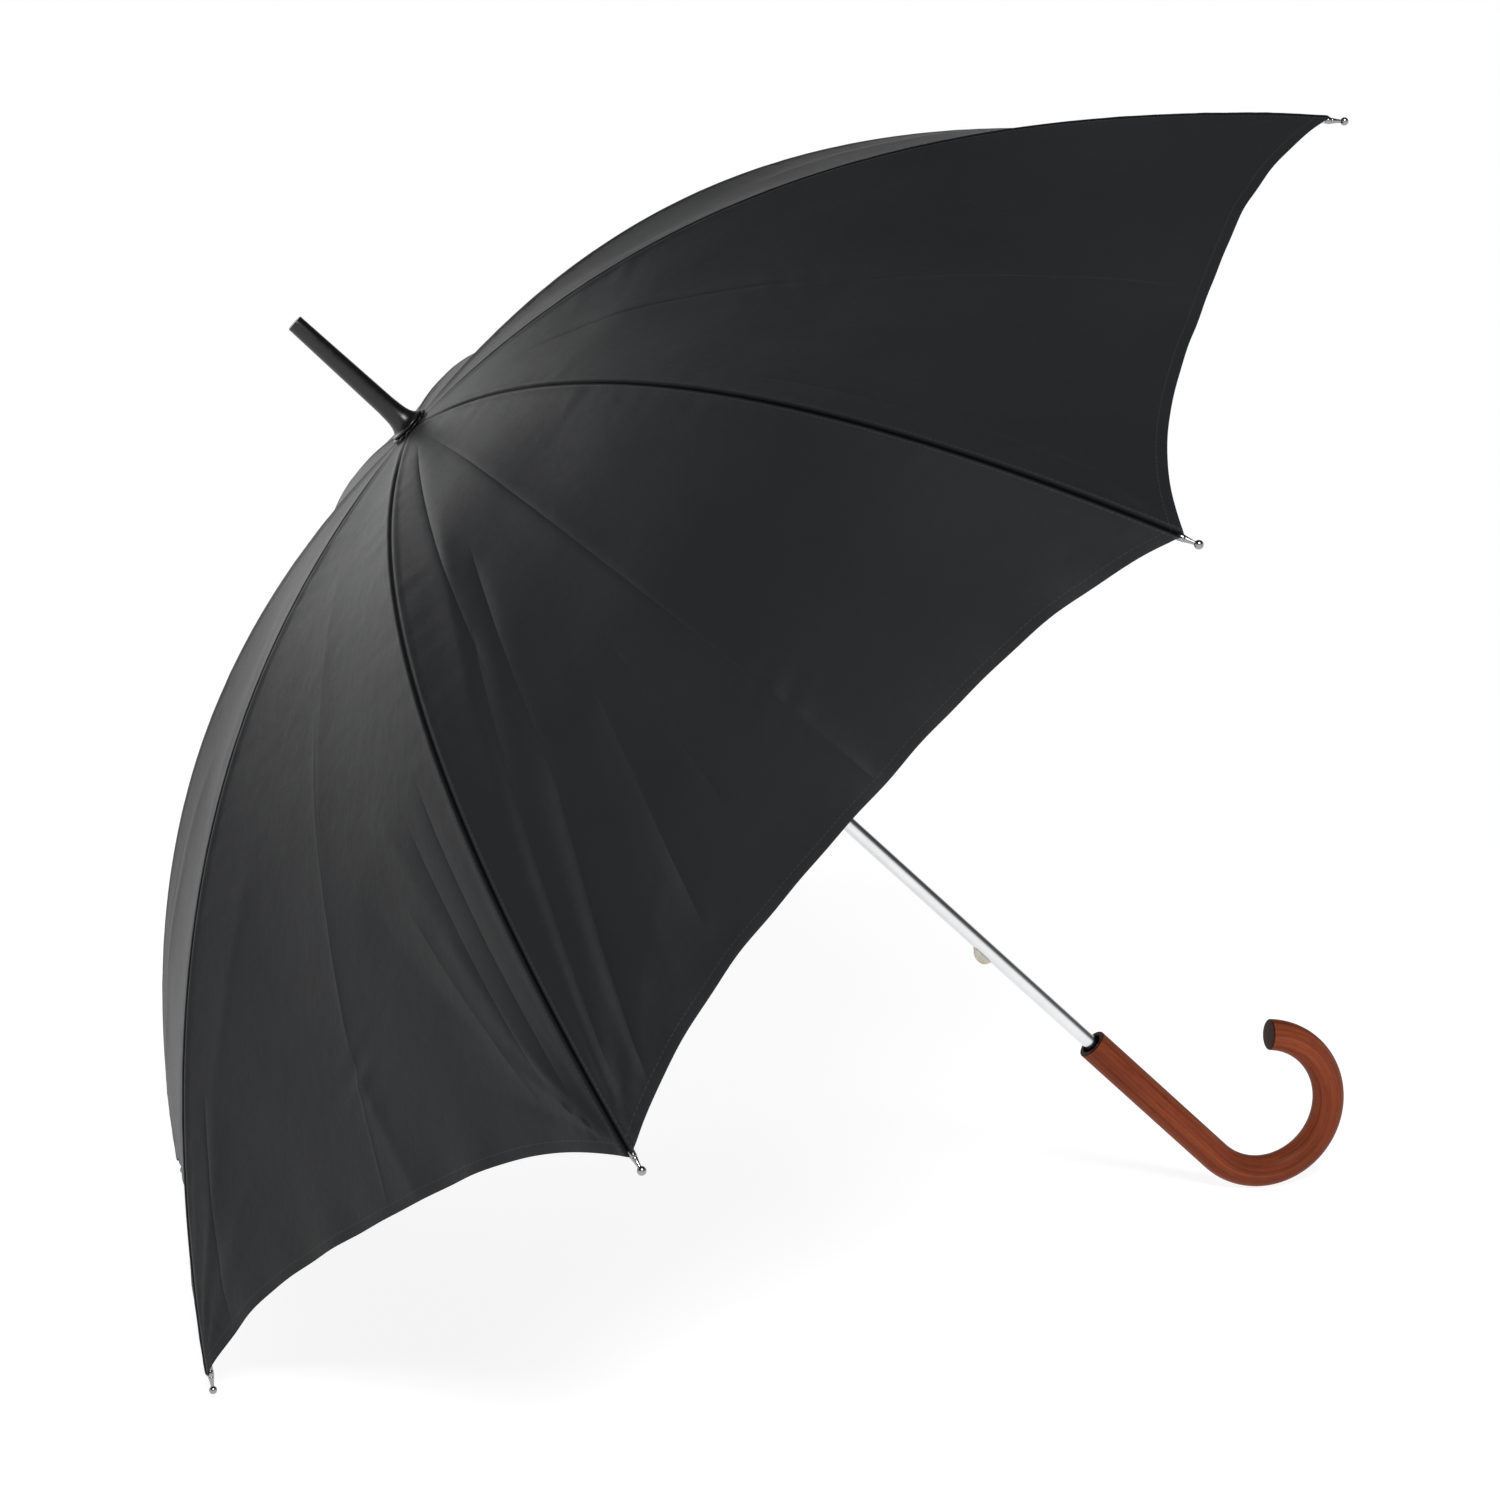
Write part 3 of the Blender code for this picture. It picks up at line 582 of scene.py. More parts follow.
def furled_canopy(share, across, number, lift=0.0):
    """Places of a panel's points in the furled roll; each half wraps round from its own rib."""
    cut = HEM_SCALLOP * (1 - np.abs(across) ** HEM_FLATNESS) * share**4
    share = share - cut / CANOPY_RADIUS
    length = arc_length(share)
    width = share * HALF_WIDTH
    off = 1 - np.abs(across)
    straight = np.sqrt(np.maximum(length**2 - width**2, 0))
    lean = np.where(length > 0, straight / np.maximum(length, 1e-6), 1)
    height = length * (1 - off) + straight * lean * off
    height = height - np.minimum(length, CROWN_EDGE) * (1 - smooth_step(length / FLAT_REACH))
    height = np.maximum(height, ROLL_TOP)
    radius = np.interp(length, ROLL_LENGTHS, ROLL_RADII)
    growth = roll_growth(height)
    wrap = np.maximum(HALF_PANEL, width * lean / (radius + WRAP_RADIUS))
    first = across < 0
    turn = np.where(first, wrap * off, (wrap - 2 * HALF_PANEL) * off)
    start = np.where(first, azimuth(number), azimuth(number + 1))
    between = LAYER_GAP + (growth * 2 * HALF_PANEL - LAYER_GAP) * off
    layer = np.where(first, 0, between * np.minimum(1, off * LAYER_RISE))
    angle = start + turn
    waves = ROLL_WAVE * np.sin(ROLL_WAVE_COUNT * angle + ROLL_WAVE_SLANT * height)
    radius = radius + (growth * np.maximum(turn, 0) + layer) + lift + waves
    return np.stack([radius * np.cos(angle), radius * np.sin(angle), -height], axis=-1)


# --- materials ---


THREAD_PITCH = 0.0005
STITCH_HALF_WIDTH = 0.00035
STITCH_THRESHOLD = -0.55
# Stitch lines: distance from the edge and length of a stitch
HEM_STITCHES = (0.0062, 0.0028)
SEAM_STITCHES = (0.0030, 0.0030)
# Distance from a seam within which the painted shade along it fades
SEAM_SHADE_REACH = 0.004
# Share of its length in which a pressed line rises or dies away
LINE_FADE = 0.2


def line_frame(crease):
    """Start, direction and length of a crease on the flat cloth."""
    x0, y0 = flat_place(*crease[0])
    x1, y1 = flat_place(*crease[1])
    reach = math.hypot(x1 - x0, y1 - y0)
    return x0, y0, (x1 - x0) / reach, (y1 - y0) / reach, reach


def fold_line(tree, flat, crease):
    """Height of a thin pressed line between two places of a panel, from the flat map."""
    x0, y0, ux, uy, reach = line_frame(crease)
    height, width = crease[2:]
    start = Vector((x0 + FLAT_ORIGIN[0], y0 + FLAT_ORIGIN[1], 0))
    local = vector_maths(tree, "SUBTRACT", "Vector", flat, start)
    off = vector_maths(tree, "DOT_PRODUCT", "Value", local, (uy, -ux, 0))
    run = vector_maths(tree, "DOT_PRODUCT", "Value", local, (ux, uy, 0))
    ridge = maths(tree, "EXPONENT", maths(tree, "MULTIPLY", maths(tree, "ABSOLUTE", off), -1 / width))
    fade = LINE_FADE * reach
    rise = smooth_between(tree, run, 0.0, fade)
    drop = smooth_between(tree, run, reach - fade, reach, 1.0, 0.0)
    ends = maths(tree, "MULTIPLY", rise, drop)
    return maths(tree, "MULTIPLY", maths(tree, "MULTIPLY", ridge, ends), height)


def fabric_material(name, lines=()):
    """Black satin polyester: a fine plain weave, soft crumpling, pressed lines, stitches and painted
    shade along the seams.
    """
    mat, tree, shader = material(name, 0.5, Sheen_Weight=0.035, Sheen_Roughness=0.35)
    flat = uv_place(tree, "flat")
    split = node(tree, "ShaderNodeSeparateXYZ", {"Vector": flat})
    sideways, down = split.outputs["X"], split.outputs["Y"]
    threads = [wave(tree, place, THREAD_PITCH) for place in (sideways, down)]
    weave = maths(tree, "MULTIPLY", *threads)
    slub = stretched_noise(tree, flat, (900, 60, 1), 2.0)
    crumple = stretched_noise(tree, flat, (26, 18, 1), 6.0, 0.62)
    patches = stretched_noise(tree, flat, (7, 5, 1), 3.0)
    cloth = ramp(tree, patches, [(0.3, (0.0150, 0.0157, 0.0172)), (0.7, (0.0190, 0.0197, 0.0214))])
    seam, hem = painted(tree, "seam_gap"), painted(tree, "hem_gap")
    hem_stitches = stitch_mask(tree, hem, sideways, *HEM_STITCHES)
    seam_stitches = stitch_mask(tree, seam, down, *SEAM_STITCHES)
    stitch = maths(tree, "MAXIMUM", hem_stitches, seam_stitches)
    sewn_cloth = layered(tree, stitch, cloth, (0.03, 0.03, 0.033, 1))
    # Painted shade along the seams: a factor that darkens the cloth's colour and weakens its reflection
    # near a seam
    near_seam = maths(tree, "MULTIPLY", seam, 1 / SEAM_SHADE_REACH)
    depth = ramp(tree, near_seam, [(0.12, 0.12), (0.62, 1.0)])
    shaped = bump(tree, crumple, 0.0016, 0.55)
    if lines:
        folds = 0.0
        for line in lines:
            folds = maths(tree, "ADD", folds, fold_line(tree, flat, line))
        shaped = bump(tree, folds, 1.0, 1.0, shaped)
    woven = bump(tree, weave, 0.00006, 0.35, shaped)
    feed(
        shader,
        # painted shade: colour and reflection darkened near the seams
        Base_Color=layered(tree, 1.0, sewn_cloth, depth, "MULTIPLY"),
        Specular_IOR_Level=maths(tree, "MULTIPLY", depth, 0.10),
        Roughness=value_between(tree, slub, 0.40, 0.50),
        Normal=bump(tree, stitch, 0.0003, 0.8, woven),
    )
    return mat


def stitch_mask(tree, gap, along, place, pitch):
    """1 on the stitches of a line at a distance from an edge."""
    off = maths(tree, "ABSOLUTE", maths(tree, "SUBTRACT", gap, place))
    on_line = maths(tree, "LESS_THAN", off, STITCH_HALF_WIDTH)
    dash = maths(tree, "GREATER_THAN", wave(tree, along, pitch), STITCH_THRESHOLD)
    return maths(tree, "MULTIPLY", on_line, dash)


def metal_material(name, colour, roughness, variation=0.05):
    """Plated or polished metal with a fine grain and smudges."""
    mat, tree, shader = material(name, roughness, 1.0)
    place = object_place(tree)
    smudge = noise(tree, place, 60.0, 4.0)
    grain = noise(tree, place, 900.0, 2.0)
    feed(
        shader,
        Base_Color=ramp(tree, smudge, [(0.25, tuple(c * 0.9 for c in colour)), (0.75, colour)]),
        Roughness=value_between(tree, smudge, roughness - variation, roughness + variation),
        Normal=bump(tree, grain, 0.00004, 0.25),
    )
    return mat


def plastic_material(name, colour, roughness, **sockets):
    """Moulded plastic with a faint texture and handling marks."""
    mat, tree, shader = material(name, roughness, 0.0, **sockets)
    place = object_place(tree)
    marks = noise(tree, place, 240.0, 5.0, 0.6)
    grain = noise(tree, place, 3200.0, 1.0)
    dark, light = (tuple(min(1, c * factor) for c in colour) for factor in (0.8, 1.25))
    feed(
        shader,
        Base_Color=ramp(tree, marks, [(0.3, dark), (0.75, light)]),
        Roughness=value_between(tree, marks, roughness - 0.06, roughness + 0.08),
        Normal=bump(tree, grain, 0.00003, 0.3),
    )
    return mat


def wood_material():
    """Cherry-stained wood under a satin varnish; its grain follows the bend through the UV map."""
    varnish = {"Coat_Weight": 0.02, "Coat_Roughness": 0.3, "Specular_IOR_Level": 0.10, "IOR": 1.3}
    mat, tree, shader = material("cherry_wood_varnished", 0.36, **varnish)
    grain_map = uv_place(tree, "grain")
    wander = stretched_noise(tree, grain_map, (55, 9, 1), 3.0)
    bands = stretched_noise(tree, grain_map, (420, 7, 1), 4.0, 0.6)
    pores = stretched_noise(tree, grain_map, (2600, 90, 1), 2.0)
    tones = [(0.25, (0.140, 0.027, 0.011)), (0.5, (0.235, 0.052, 0.022)), (0.78, (0.330, 0.086, 0.038))]
    stain = ramp(tree, wander, [(0.3, 0.62), (0.7, 1.0)])
    pore = ramp(tree, pores, [(0.30, 0.45), (0.42, 1.0)])
    stained = layered(tree, 1.0, ramp(tree, bands, tones), stain, "MULTIPLY")
    flecked = layered(tree, 0.7, stained, pore, "MULTIPLY")
    feed(
        shader,
        # near black by the mesh's value: painted shade in the recess, darker end grain at the rim and the
        # crook's end
        Base_Color=layered(tree, painted(tree, "dark_end_grain_and_recess_shade"), flecked, (0.011, 0.006, 0.005, 1)),
        Roughness=value_between(tree, bands, 0.36, 0.50),
        Normal=bump(tree, pores, 0.00006, 0.4),
    )
    return mat


# --- the canopy ---

# Creases of each panel: (share, across) at both ends, height, half width. The panels are numbered as
# in the CAD: panel 5 and 6 face the camera, 7 is above them.
CREASES = {
    6: [
        ((0.16, 0.10), (1.03, 0.08), 0.0016, 0.011),
        ((0.30, -0.36), (1.00, -0.97), 0.0022, 0.010),
        ((0.52, -0.48), (1.02, -0.86), 0.0018, 0.009),
        ((0.72, -0.27), (1.03, -0.47), -0.0010, 0.010),
        ((0.62, -0.30), (0.98, -0.66), 0.0009, 0.009),
        ((0.40, 0.55), (1.02, 0.74), 0.0006, 0.010),
    ],
    5: [
        ((0.20, -0.12), (0.88, 0.02), 0.0010, 0.012),
        ((0.86, 0.03), (1.04, 0.17), 0.0016, 0.009),
        ((0.60, 0.42), (1.00, 0.93), 0.0016, 0.012),
        ((0.70, 0.22), (1.01, 0.86), -0.0014, 0.013),
        ((0.78, 0.66), (1.00, 0.97), 0.0014, 0.009),
        ((0.55, -0.55), (1.00, -0.93), 0.0010, 0.012),
    ],
    7: [
        ((0.30, 0.13), (0.66, 0.01), 0.0014, 0.010),
        ((0.64, 0.01), (1.04, 0.04), 0.0013, 0.010),
        ((0.55, -0.50), (1.02, -0.92), 0.0010, 0.011),
        ((0.50, 0.55), (1.02, 0.90), 0.0009, 0.011),
    ],
}
USUAL_CREASES = [
    ((0.18, 0.05), (1.04, 0.03), 0.0014, 0.010),
    ((0.45, -0.45), (1.01, -0.90), 0.0013, 0.010),
    ((0.50, 0.50), (1.02, 0.86), 0.0011, 0.011),
    ((0.66, 0.28), (1.03, 0.50), -0.0007, 0.011),
]
# Thin pressed lines that the cloth's folds end in, in the same form
FOLD_LINES = {
    6: [
        ((0.10, -0.20), (0.62, -0.64), 0.0012, 0.0026),
        ((0.52, -0.58), (0.98, -0.94), 0.0022, 0.0034),
        ((0.42, -0.36), (0.79, -0.64), 0.0018, 0.0032),
        ((0.72, -0.585), (1.00, -0.87), 0.0022, 0.0034),
        ((0.70, -0.30), (0.97, -0.52), 0.0016, 0.0060),
        ((0.66, -0.14), (0.92, -0.26), 0.0010, 0.0055),
        ((0.12, 0.115), (0.90, 0.075), 0.0012, 0.0022),
        ((0.84, 0.08), (1.03, 0.07), -0.0010, 0.0022),
    ],
    5: [
        ((0.45, -0.10), (0.88, 0.03), -0.0004, 0.0018),
        ((0.84, 0.03), (1.04, 0.03), -0.0003, 0.0018),
        ((0.78, -0.86), (1.04, -0.80), 0.0006, 0.0020),
        ((0.62, 0.80), (0.98, 0.93), 0.0014, 0.0042),
        ((0.66, 0.66), (0.96, 0.86), 0.0012, 0.0055),
        ((0.74, 0.50), (0.97, 0.80), -0.0012, 0.0060),
    ],
    7: [
        ((0.20, 0.13), (0.66, 0.01), 0.0012, 0.0024),
        ((0.64, 0.00), (1.04, 0.04), 0.0012, 0.0024),
        ((0.60, -0.82), (0.98, -0.90), 0.0010, 0.0030),
    ],
}
USUAL_FOLD_LINES = [
    ((0.14, 0.06), (1.03, 0.03), 0.0005, 0.0020),
    ((0.58, -0.70), (0.97, -0.90), 0.0006, 0.0026),
    ((0.62, 0.74), (0.98, 0.90), 0.0006, 0.0026),
]
FLAT_ORIGIN = (0.5, 0.1)
ROWS = 150
COLUMNS = 136
# Waves of the cloth: height, lengths, and the distance from an edge that they reach
SLACK_WAVES = (0.0011, (0.30, 0.19, 0.13, 0.10), 0.05)
SEAM_WAVES = (0.00075, (0.017, 0.026, 0.041), 0.013)
SEAM_WAVE_GROUPS = (0.19, 0.11)
HEM_WAVES = (0.0010, (0.045, 0.071), 0.022)
# Puckers at a place of a panel's mid crease: height, pitch and spread
PUCKERS = {5: (0.877, 0.048), 6: (0.865, 0.075), 7: (0.60, 0.03)}
USUAL_PUCKERS = (0.8, 0.04)
PUCKER_HEIGHT = 0.0004
PUCKER_PITCH = 0.024
PUCKER_SPREAD = (0.016, 0.030)
# Folds that fan out from a tip: directions, height by panel and side, and distance of their peak
FAN_TURNS = (0.42, 0.60, 0.80, 1.02)
FAN_HEIGHTS = {(5, 1): 0.0022, (6, -1): 0.0016, (4, 1): 0.0012, (5, -1): 0.0013}
USUAL_FAN_HEIGHT = 0.0010
FAN_PEAK = 0.030
# The seam's raised welt (height, distance, width) and the groove on its line (depth, width)
WELT = (0.0005, 0.0034, 0.0024)
GROOVE = (0.0012, 0.0014)
# Rounding of a crease's ridge, and how strongly columns gather at the seams (0 to 1)
CREASE_SHARPNESS = 0.0012
SEAM_SPACING = 0.82
# A distance from the hem that no stitches are drawn at
NO_HEM = 10
# Share of the radius and lift of each row of the hem's folded edge
HEM_FOLD = ((1.0012, -0.00012), (1.0012, -0.00036), (1.0, -0.0005), (0.9945, -0.0006), (0.9870, -0.0006))


def flat_place(share, across):
    """A point of a panel as it was cut: distance from the mid line and from the apex."""
    return np.asarray(across) * share * HALF_WIDTH, arc_length(share)


def crease_height(x, y, crease):
    """A fold line across the cloth: a sharp ridge that dies away at its ends."""
    x0, y0, ux, uy, reach = line_frame(crease)
    height, width = crease[2:]
    along = ((x - x0) * ux + (y - y0) * uy) / reach
    off = (x - x0) * uy - (y - y0) * ux
    ends = smooth_step(along / 0.18) * smooth_step((1 - along) / 0.10)
    sharp = np.sqrt(off**2 + CREASE_SHARPNESS**2)
    skewed = np.where(off > 0, width, width * 1.7)
    return height * ends * np.exp(-sharp / skewed)


def smooth_step(t):
    t = np.clip(t, 0, 1)
    return t * t * (3 - 2 * t)


def ripples(x, y, random, lengths, turns=(0, math.pi)):
    """A smooth random surface of height about 1, from a few waves."""
    total = np.zeros_like(x)
    for length in lengths:
        turn = random.uniform(*turns)
        phase = random.uniform(0, 2 * math.pi)
        total += np.sin(2 * math.pi / length * (x * math.cos(turn) + y * math.sin(turn)) + phase)
    return total / len(lengths)


def corner_fan(x, y, side, random, strength):
    """Folds that fan out from a rib's tip, where the cloth is pulled."""
    dx, dy = side * HALF_WIDTH - x, RIB_ARC - y
    away = (np.hypot(dx, dy) + 1e-9) / FAN_PEAK
    turn = np.arctan2(side * dx, dy)
    total = np.zeros_like(x)
    for centre in FAN_TURNS:
        place = centre + random.uniform(-0.07, 0.07)
        spread = random.uniform(0.035, 0.060)
        height = random.choice((1.0, 0.8, -0.6)) * random.uniform(0.6, 1.0)
        total += height * np.exp(-np.abs(turn - place) / spread)
    return strength * total * away * np.exp(1 - away)


def puckers(x, y, number):
    """Small gathers across the mid crease of a panel."""
    px, py = flat_place(*PUCKERS.get(number, USUAL_PUCKERS))
    dx, dy = x - px, y - py
    near = np.exp(-((dx / PUCKER_SPREAD[0]) ** 2) - (dy / PUCKER_SPREAD[1]) ** 2)
    return PUCKER_HEIGHT * near * np.cos(2 * math.pi * (dy + 0.5 * dx) / PUCKER_PITCH)


def cloth_height(share, across, number):
    """How far a panel's cloth stands from its smooth surface."""
    random = np.random.default_rng(RANDOM_SEED + number)
    downwards, sideways = (math.pi / 2, math.pi / 2), (0, 0)
    x, y = flat_place(share, across)
    seam = (1 - np.abs(across)) * share * HALF_WIDTH
    slack, lengths, reach = SLACK_WAVES
    height = slack * ripples(x, y, random, lengths) * smooth_step(seam / reach)
    for crease in CREASES.get(number, USUAL_CREASES):
        height += crease_height(x, y, crease)
    for side in (-1, 1):
        fan_height = FAN_HEIGHTS.get((number, side), USUAL_FAN_HEIGHT)
        height += corner_fan(x, y, side, random, fan_height)
    height += puckers(x, y, number)
    gather, lengths, reach = SEAM_WAVES
    waves = ripples(x * 0, y, random, lengths, downwards)
    groups = 0.5 + 0.5 * ripples(x * 0, y, random, SEAM_WAVE_GROUPS, downwards)
    height += gather * waves * groups * np.exp(-seam / reach) * smooth_step(share / 0.25)
    flutter, lengths, reach = HEM_WAVES
    edge = ripples(x, y * 0, random, lengths, sideways)
    height += flutter * edge * np.exp(-(RIB_ARC - y) / reach)
    welt = WELT[0] * np.exp(-(((seam - WELT[1]) / WELT[2]) ** 2)) * smooth_step(share / 0.08)
    groove = -GROOVE[0] * np.exp(-((seam / GROOVE[1]) ** 2)) * smooth_step((share - 0.05) / 0.1)
    height = height * smooth_step(seam / 0.010) + welt * smooth_step(seam / 0.0026) + groove
    return height * smooth_step(share / 0.06)


def grid_faces(rows, columns):
    return [
        [i * columns + j, i * columns + j + 1, (i + 1) * columns + j + 1, (i + 1) * columns + j]
        for i in range(rows - 1)
        for j in range(columns - 1)
    ]


def column_places():
    """Columns from -1 to 1 that lie closer together at the seams and at the mid crease."""
    u = np.linspace(0, 1, COLUMNS // 2 + 1)
    half = SEAM_SPACING * smooth_step(u) + (1 - SEAM_SPACING) * u
    return np.concatenate([half - 1, (1 - half[:-1])[::-1]])


def set_point_values(mesh, name, values):
    attribute = mesh.attributes.new(name, "FLOAT", "POINT")
    attribute.data.foreach_set("value", np.asarray(values, np.float32).ravel())


def set_flat_map(mesh, name, u, v):
    """A UV map from a value of u and v for each vertex."""
    corners = np.zeros(len(mesh.loops), int)
    mesh.loops.foreach_get("vertex_index", corners)
    layer = mesh.uv_layers.new(name=name)
    pairs = np.stack([np.ravel(u)[corners], np.ravel(v)[corners]], axis=-1)
    layer.data.foreach_set("uv", pairs.astype(np.float32).ravel())


def sheet_mesh(name, share, across, points, seam_gap, hem_gap):
    """A cloth's mesh with its flat map and its distances from seam and hem."""
    mesh = smooth_mesh(name, points, grid_faces(*share.shape))
    x, y = flat_place(share, across)
    set_flat_map(mesh, "flat", x + FLAT_ORIGIN[0], y + FLAT_ORIGIN[1])
    set_point_values(mesh, "seam_gap", seam_gap)
    set_point_values(mesh, "hem_gap", hem_gap)
    return mesh


def canopy_panel(number, mat):
    """One panel from rib to rib, with its seams' welts, creases and folded hem."""
    inner = CANOPY_HOLE / CANOPY_RADIUS
    shares = inner + (1 - inner) * np.linspace(0, 1, ROWS) ** 0.9
    hem_shares, hem_lifts = zip(*HEM_FOLD)
    lifts = np.concatenate([np.zeros(ROWS), hem_lifts])[:, None]
    all_shares = np.concatenate([shares, hem_shares])
    share, across = np.meshgrid(all_shares, column_places(), indexing="ij")
    points = canopy_points(share, across, lifts + cloth_height(share, across, number))
    points = turned_to(points, 2 * number * HALF_PANEL)
    name = f"canopy_panel_{number}_cloth"
    seam_gap = (1 - np.abs(across)) * share * HALF_WIDTH
    hem_gap = np.abs(RIB_ARC - arc_length(share)) + NO_HEM * (share < 0.9)
    mesh = sheet_mesh(name, share, across, points, seam_gap, hem_gap)
    obj = piece(name, mesh, mat, "canopy_fabric", f"rib_{number}_inner", f"canopy_panel_{number}")
    furled = furled_canopy(share, across, number, 0.4 * lifts)
    furls(obj, furled.reshape(-1, 3), closed_body(number, "inner"))
    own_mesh(obj)


# --- ribs, tips and stretchers ---

# Half width, half depth and wall of the two kinds of channel, and the radius of their shoulders
RIB_CHANNEL = (0.0016, 0.0013, 0.00045)
STRETCHER_CHANNEL = (0.0013, 0.0011, 0.0004)
SHOULDER = 0.0006
TONGUE_THICKNESS = 0.0014
TONGUE_DEPTH = 0.0028
RIB_START = 0.0150
RIB_END = CANOPY_RADIUS - 0.0010
# Stations along a rib: their number, where its root ends, and where it begins and ends to bend
RIB_STATIONS = 56
ROOT_STATION = 2
TIP_STRAIGHTENING = math.radians(-12.0)
# A stretcher steps aside from its rib: distance from the runner and share of STRETCHER_SIDE
STRETCHER_STEP = ((0.0075, 0), (0.012, 0), (0.018, 0.25), (0.024, 0.75), (0.030, 1))


def upward_of(direction):
    """The vector of the rib plane at a right angle to a direction."""
    return Vector((-direction.z, 0, direction.x))


def channel_section(half_width, half_depth, wall):
    """Outline of a U channel with rounded shoulders: (sideways, up) points."""
    inside = half_width - wall
    outer = arc((half_width - SHOULDER, half_depth - SHOULDER), SHOULDER, 0, 90, 4)
    outer += [(-y, z) for y, z in reversed(outer)]
    inner = [(y * inside / half_width, z - wall) for y, z in reversed(outer)]
    feet = [(y, -half_depth) for y in (half_width, -half_width, -inside, inside)]
    return [feet[0], *outer, feet[1], feet[2], *inner, feet[3]]


def channel_rings(stations, section):
    """Rings of a channel along (point, normal) stations in the rib plane."""
    return [[point + Vector((0, y, 0)) + n * normal for y, n in section] for point, normal in stations]


def rib_stations():
    """A rib's open curve, and the nearly straight line that it springs to, at the same lengths."""
    inner_reach = (FLEX - NOTCH_PIVOT).length
    outer_reach = (meridian(CANOPY_RADIUS, RIB_BELOW_FABRIC) - FLEX).length
    flex_drop = math.sqrt(inner_reach**2 - (CLOSED_FLEX_RADIUS - NOTCH_PIVOT.x) ** 2)
    tip_drop = math.sqrt(outer_reach**2 - (CLOSED_TIP_RADIUS - CLOSED_FLEX_RADIUS) ** 2)
    closed_flex = Vector((CLOSED_FLEX_RADIUS, 0, NOTCH_PIVOT.z - flex_drop))
    closed_end = Vector((CLOSED_TIP_RADIUS, 0, closed_flex.z - tip_drop))
    open_stations, closed_stations = [], []
    for i in range(RIB_STATIONS):
        radius = RIB_START + (RIB_END - RIB_START) * (i / (RIB_STATIONS - 1))
        point = meridian(radius, RIB_BELOW_FABRIC)
        open_stations.append((point, (meridian(radius) - point).normalized()))
        if radius < FLEX_RADIUS:
            part = (point - NOTCH_PIVOT).length / inner_reach
            place, along = NOTCH_PIVOT.lerp(closed_flex, part), closed_flex - NOTCH_PIVOT
        else:
            part = (point - FLEX).length / outer_reach
            place, along = closed_flex.lerp(closed_end, part), closed_end - closed_flex
        closed_stations.append((place, upward_of(along).normalized()))
    return open_stations, closed_stations


def tongue(direction, length):
    """A flat tongue with a round end, from the origin along a direction."""
    half = TONGUE_DEPTH / 2
    normal = upward_of(direction)
    outline = [direction * a + normal * b for a, b in arc((0, 0), half, 90, 270, 13)]
    outline += [direction * length - normal * half, direction * length + normal * half]
    return plate([(p.x, p.z) for p in outline], -TONGUE_THICKNESS / 2, TONGUE_THICKNESS / 2)


def rib_root(target):
    """The flat tongue that joins a rib to the crown's wire."""
    reach = target - NOTCH_PIVOT
    return shifted(tongue(reach.normalized(), reach.length), NOTCH_PIVOT)


def rivet(place, start, end, radius):
    """A pin across the rib plane."""
    return rod(place + Vector((0, start, 0)), place + Vector((0, end, 0)), radius)


def rib(number, mat):
    """One springy rib from the notch to the tip, with its ear; it bends to the canopy's curve."""
    angle = azimuth(number)
    section = channel_section(*RIB_CHANNEL)
    open_stations, closed_stations = rib_stations()
    springs = []
    for stations in (open_stations, closed_stations):
        channel = lofted(channel_rings(stations, section))
        springs.append(spun(joined(channel, rib_root(stations[ROOT_STATION][0])), angle))
    ear = spun(ear_shape(), angle)
    to_closed = TO_UPRIGHT @ joint_turn(f"rib_{number}_hinge") @ UPRIGHT
    closed_points = np.concatenate([springs[1][0], moved(ear[0], to_closed)])
    name = f"rib_{number}"
    inner, outer = f"{name}_inner", f"{name}_outer"
    mesh = mesh_from(name, *joined(springs[0], ear))
    obj = piece(name, mesh, mat, "plated_steel", None, inner, outer)
    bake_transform(obj)
    furls(obj, closed_points, Matrix.Identity(4))


def ear_shape():
    """The ear that a stretcher is riveted to, hanging under the rib."""
    ear = meridian(FLEX_RADIUS, RIB_BELOW_FABRIC + EAR_DROP)
    normal = (FLEX - ear).normalized()
    along = Vector((normal.z, 0, -normal.x))
    back = ear - along * 0.0065
    outline = [back + normal * 0.0040, back - normal * 0.0002]
    outline += [ear + along * (a - 0.0004) + normal * b for a, b in arc((0, 0), 0.0019, 250, 360, 8)]
    outline.append(ear + along * 0.0015 + normal * 0.0040)
    web = plate([(p.x, p.z) for p in outline], -0.0010, 0.0014)
    return joined(web, rivet(ear, -0.0020, 0.0024, 0.0009), rivet(ear, -0.0018, -0.0011, 0.0017))


def tip_profile():
    """A slender turned cone, ringed at its root and ending in a ball."""
    neck = TIP_LENGTH - 2 * TIP_BALL + 0.0006
    profile = [(0, -0.0030), (0.0016, -0.0030), (0.0019, -0.0026), (0.0019, 0.0004), (0.0015, 0.0009)]
    profile += [(0.0017, 0.0014), (0.0015, 0.0019), (0.0012, 0.6 * neck), (0.0009, neck)]
    for i in range(1, 12):
        turn = math.radians(-72 + 14.5 * i)
        height = TIP_LENGTH - TIP_BALL + TIP_BALL * math.sin(turn)
        profile.append((TIP_BALL * math.cos(turn), height))
    profile.append((0, TIP_LENGTH))
    return profile


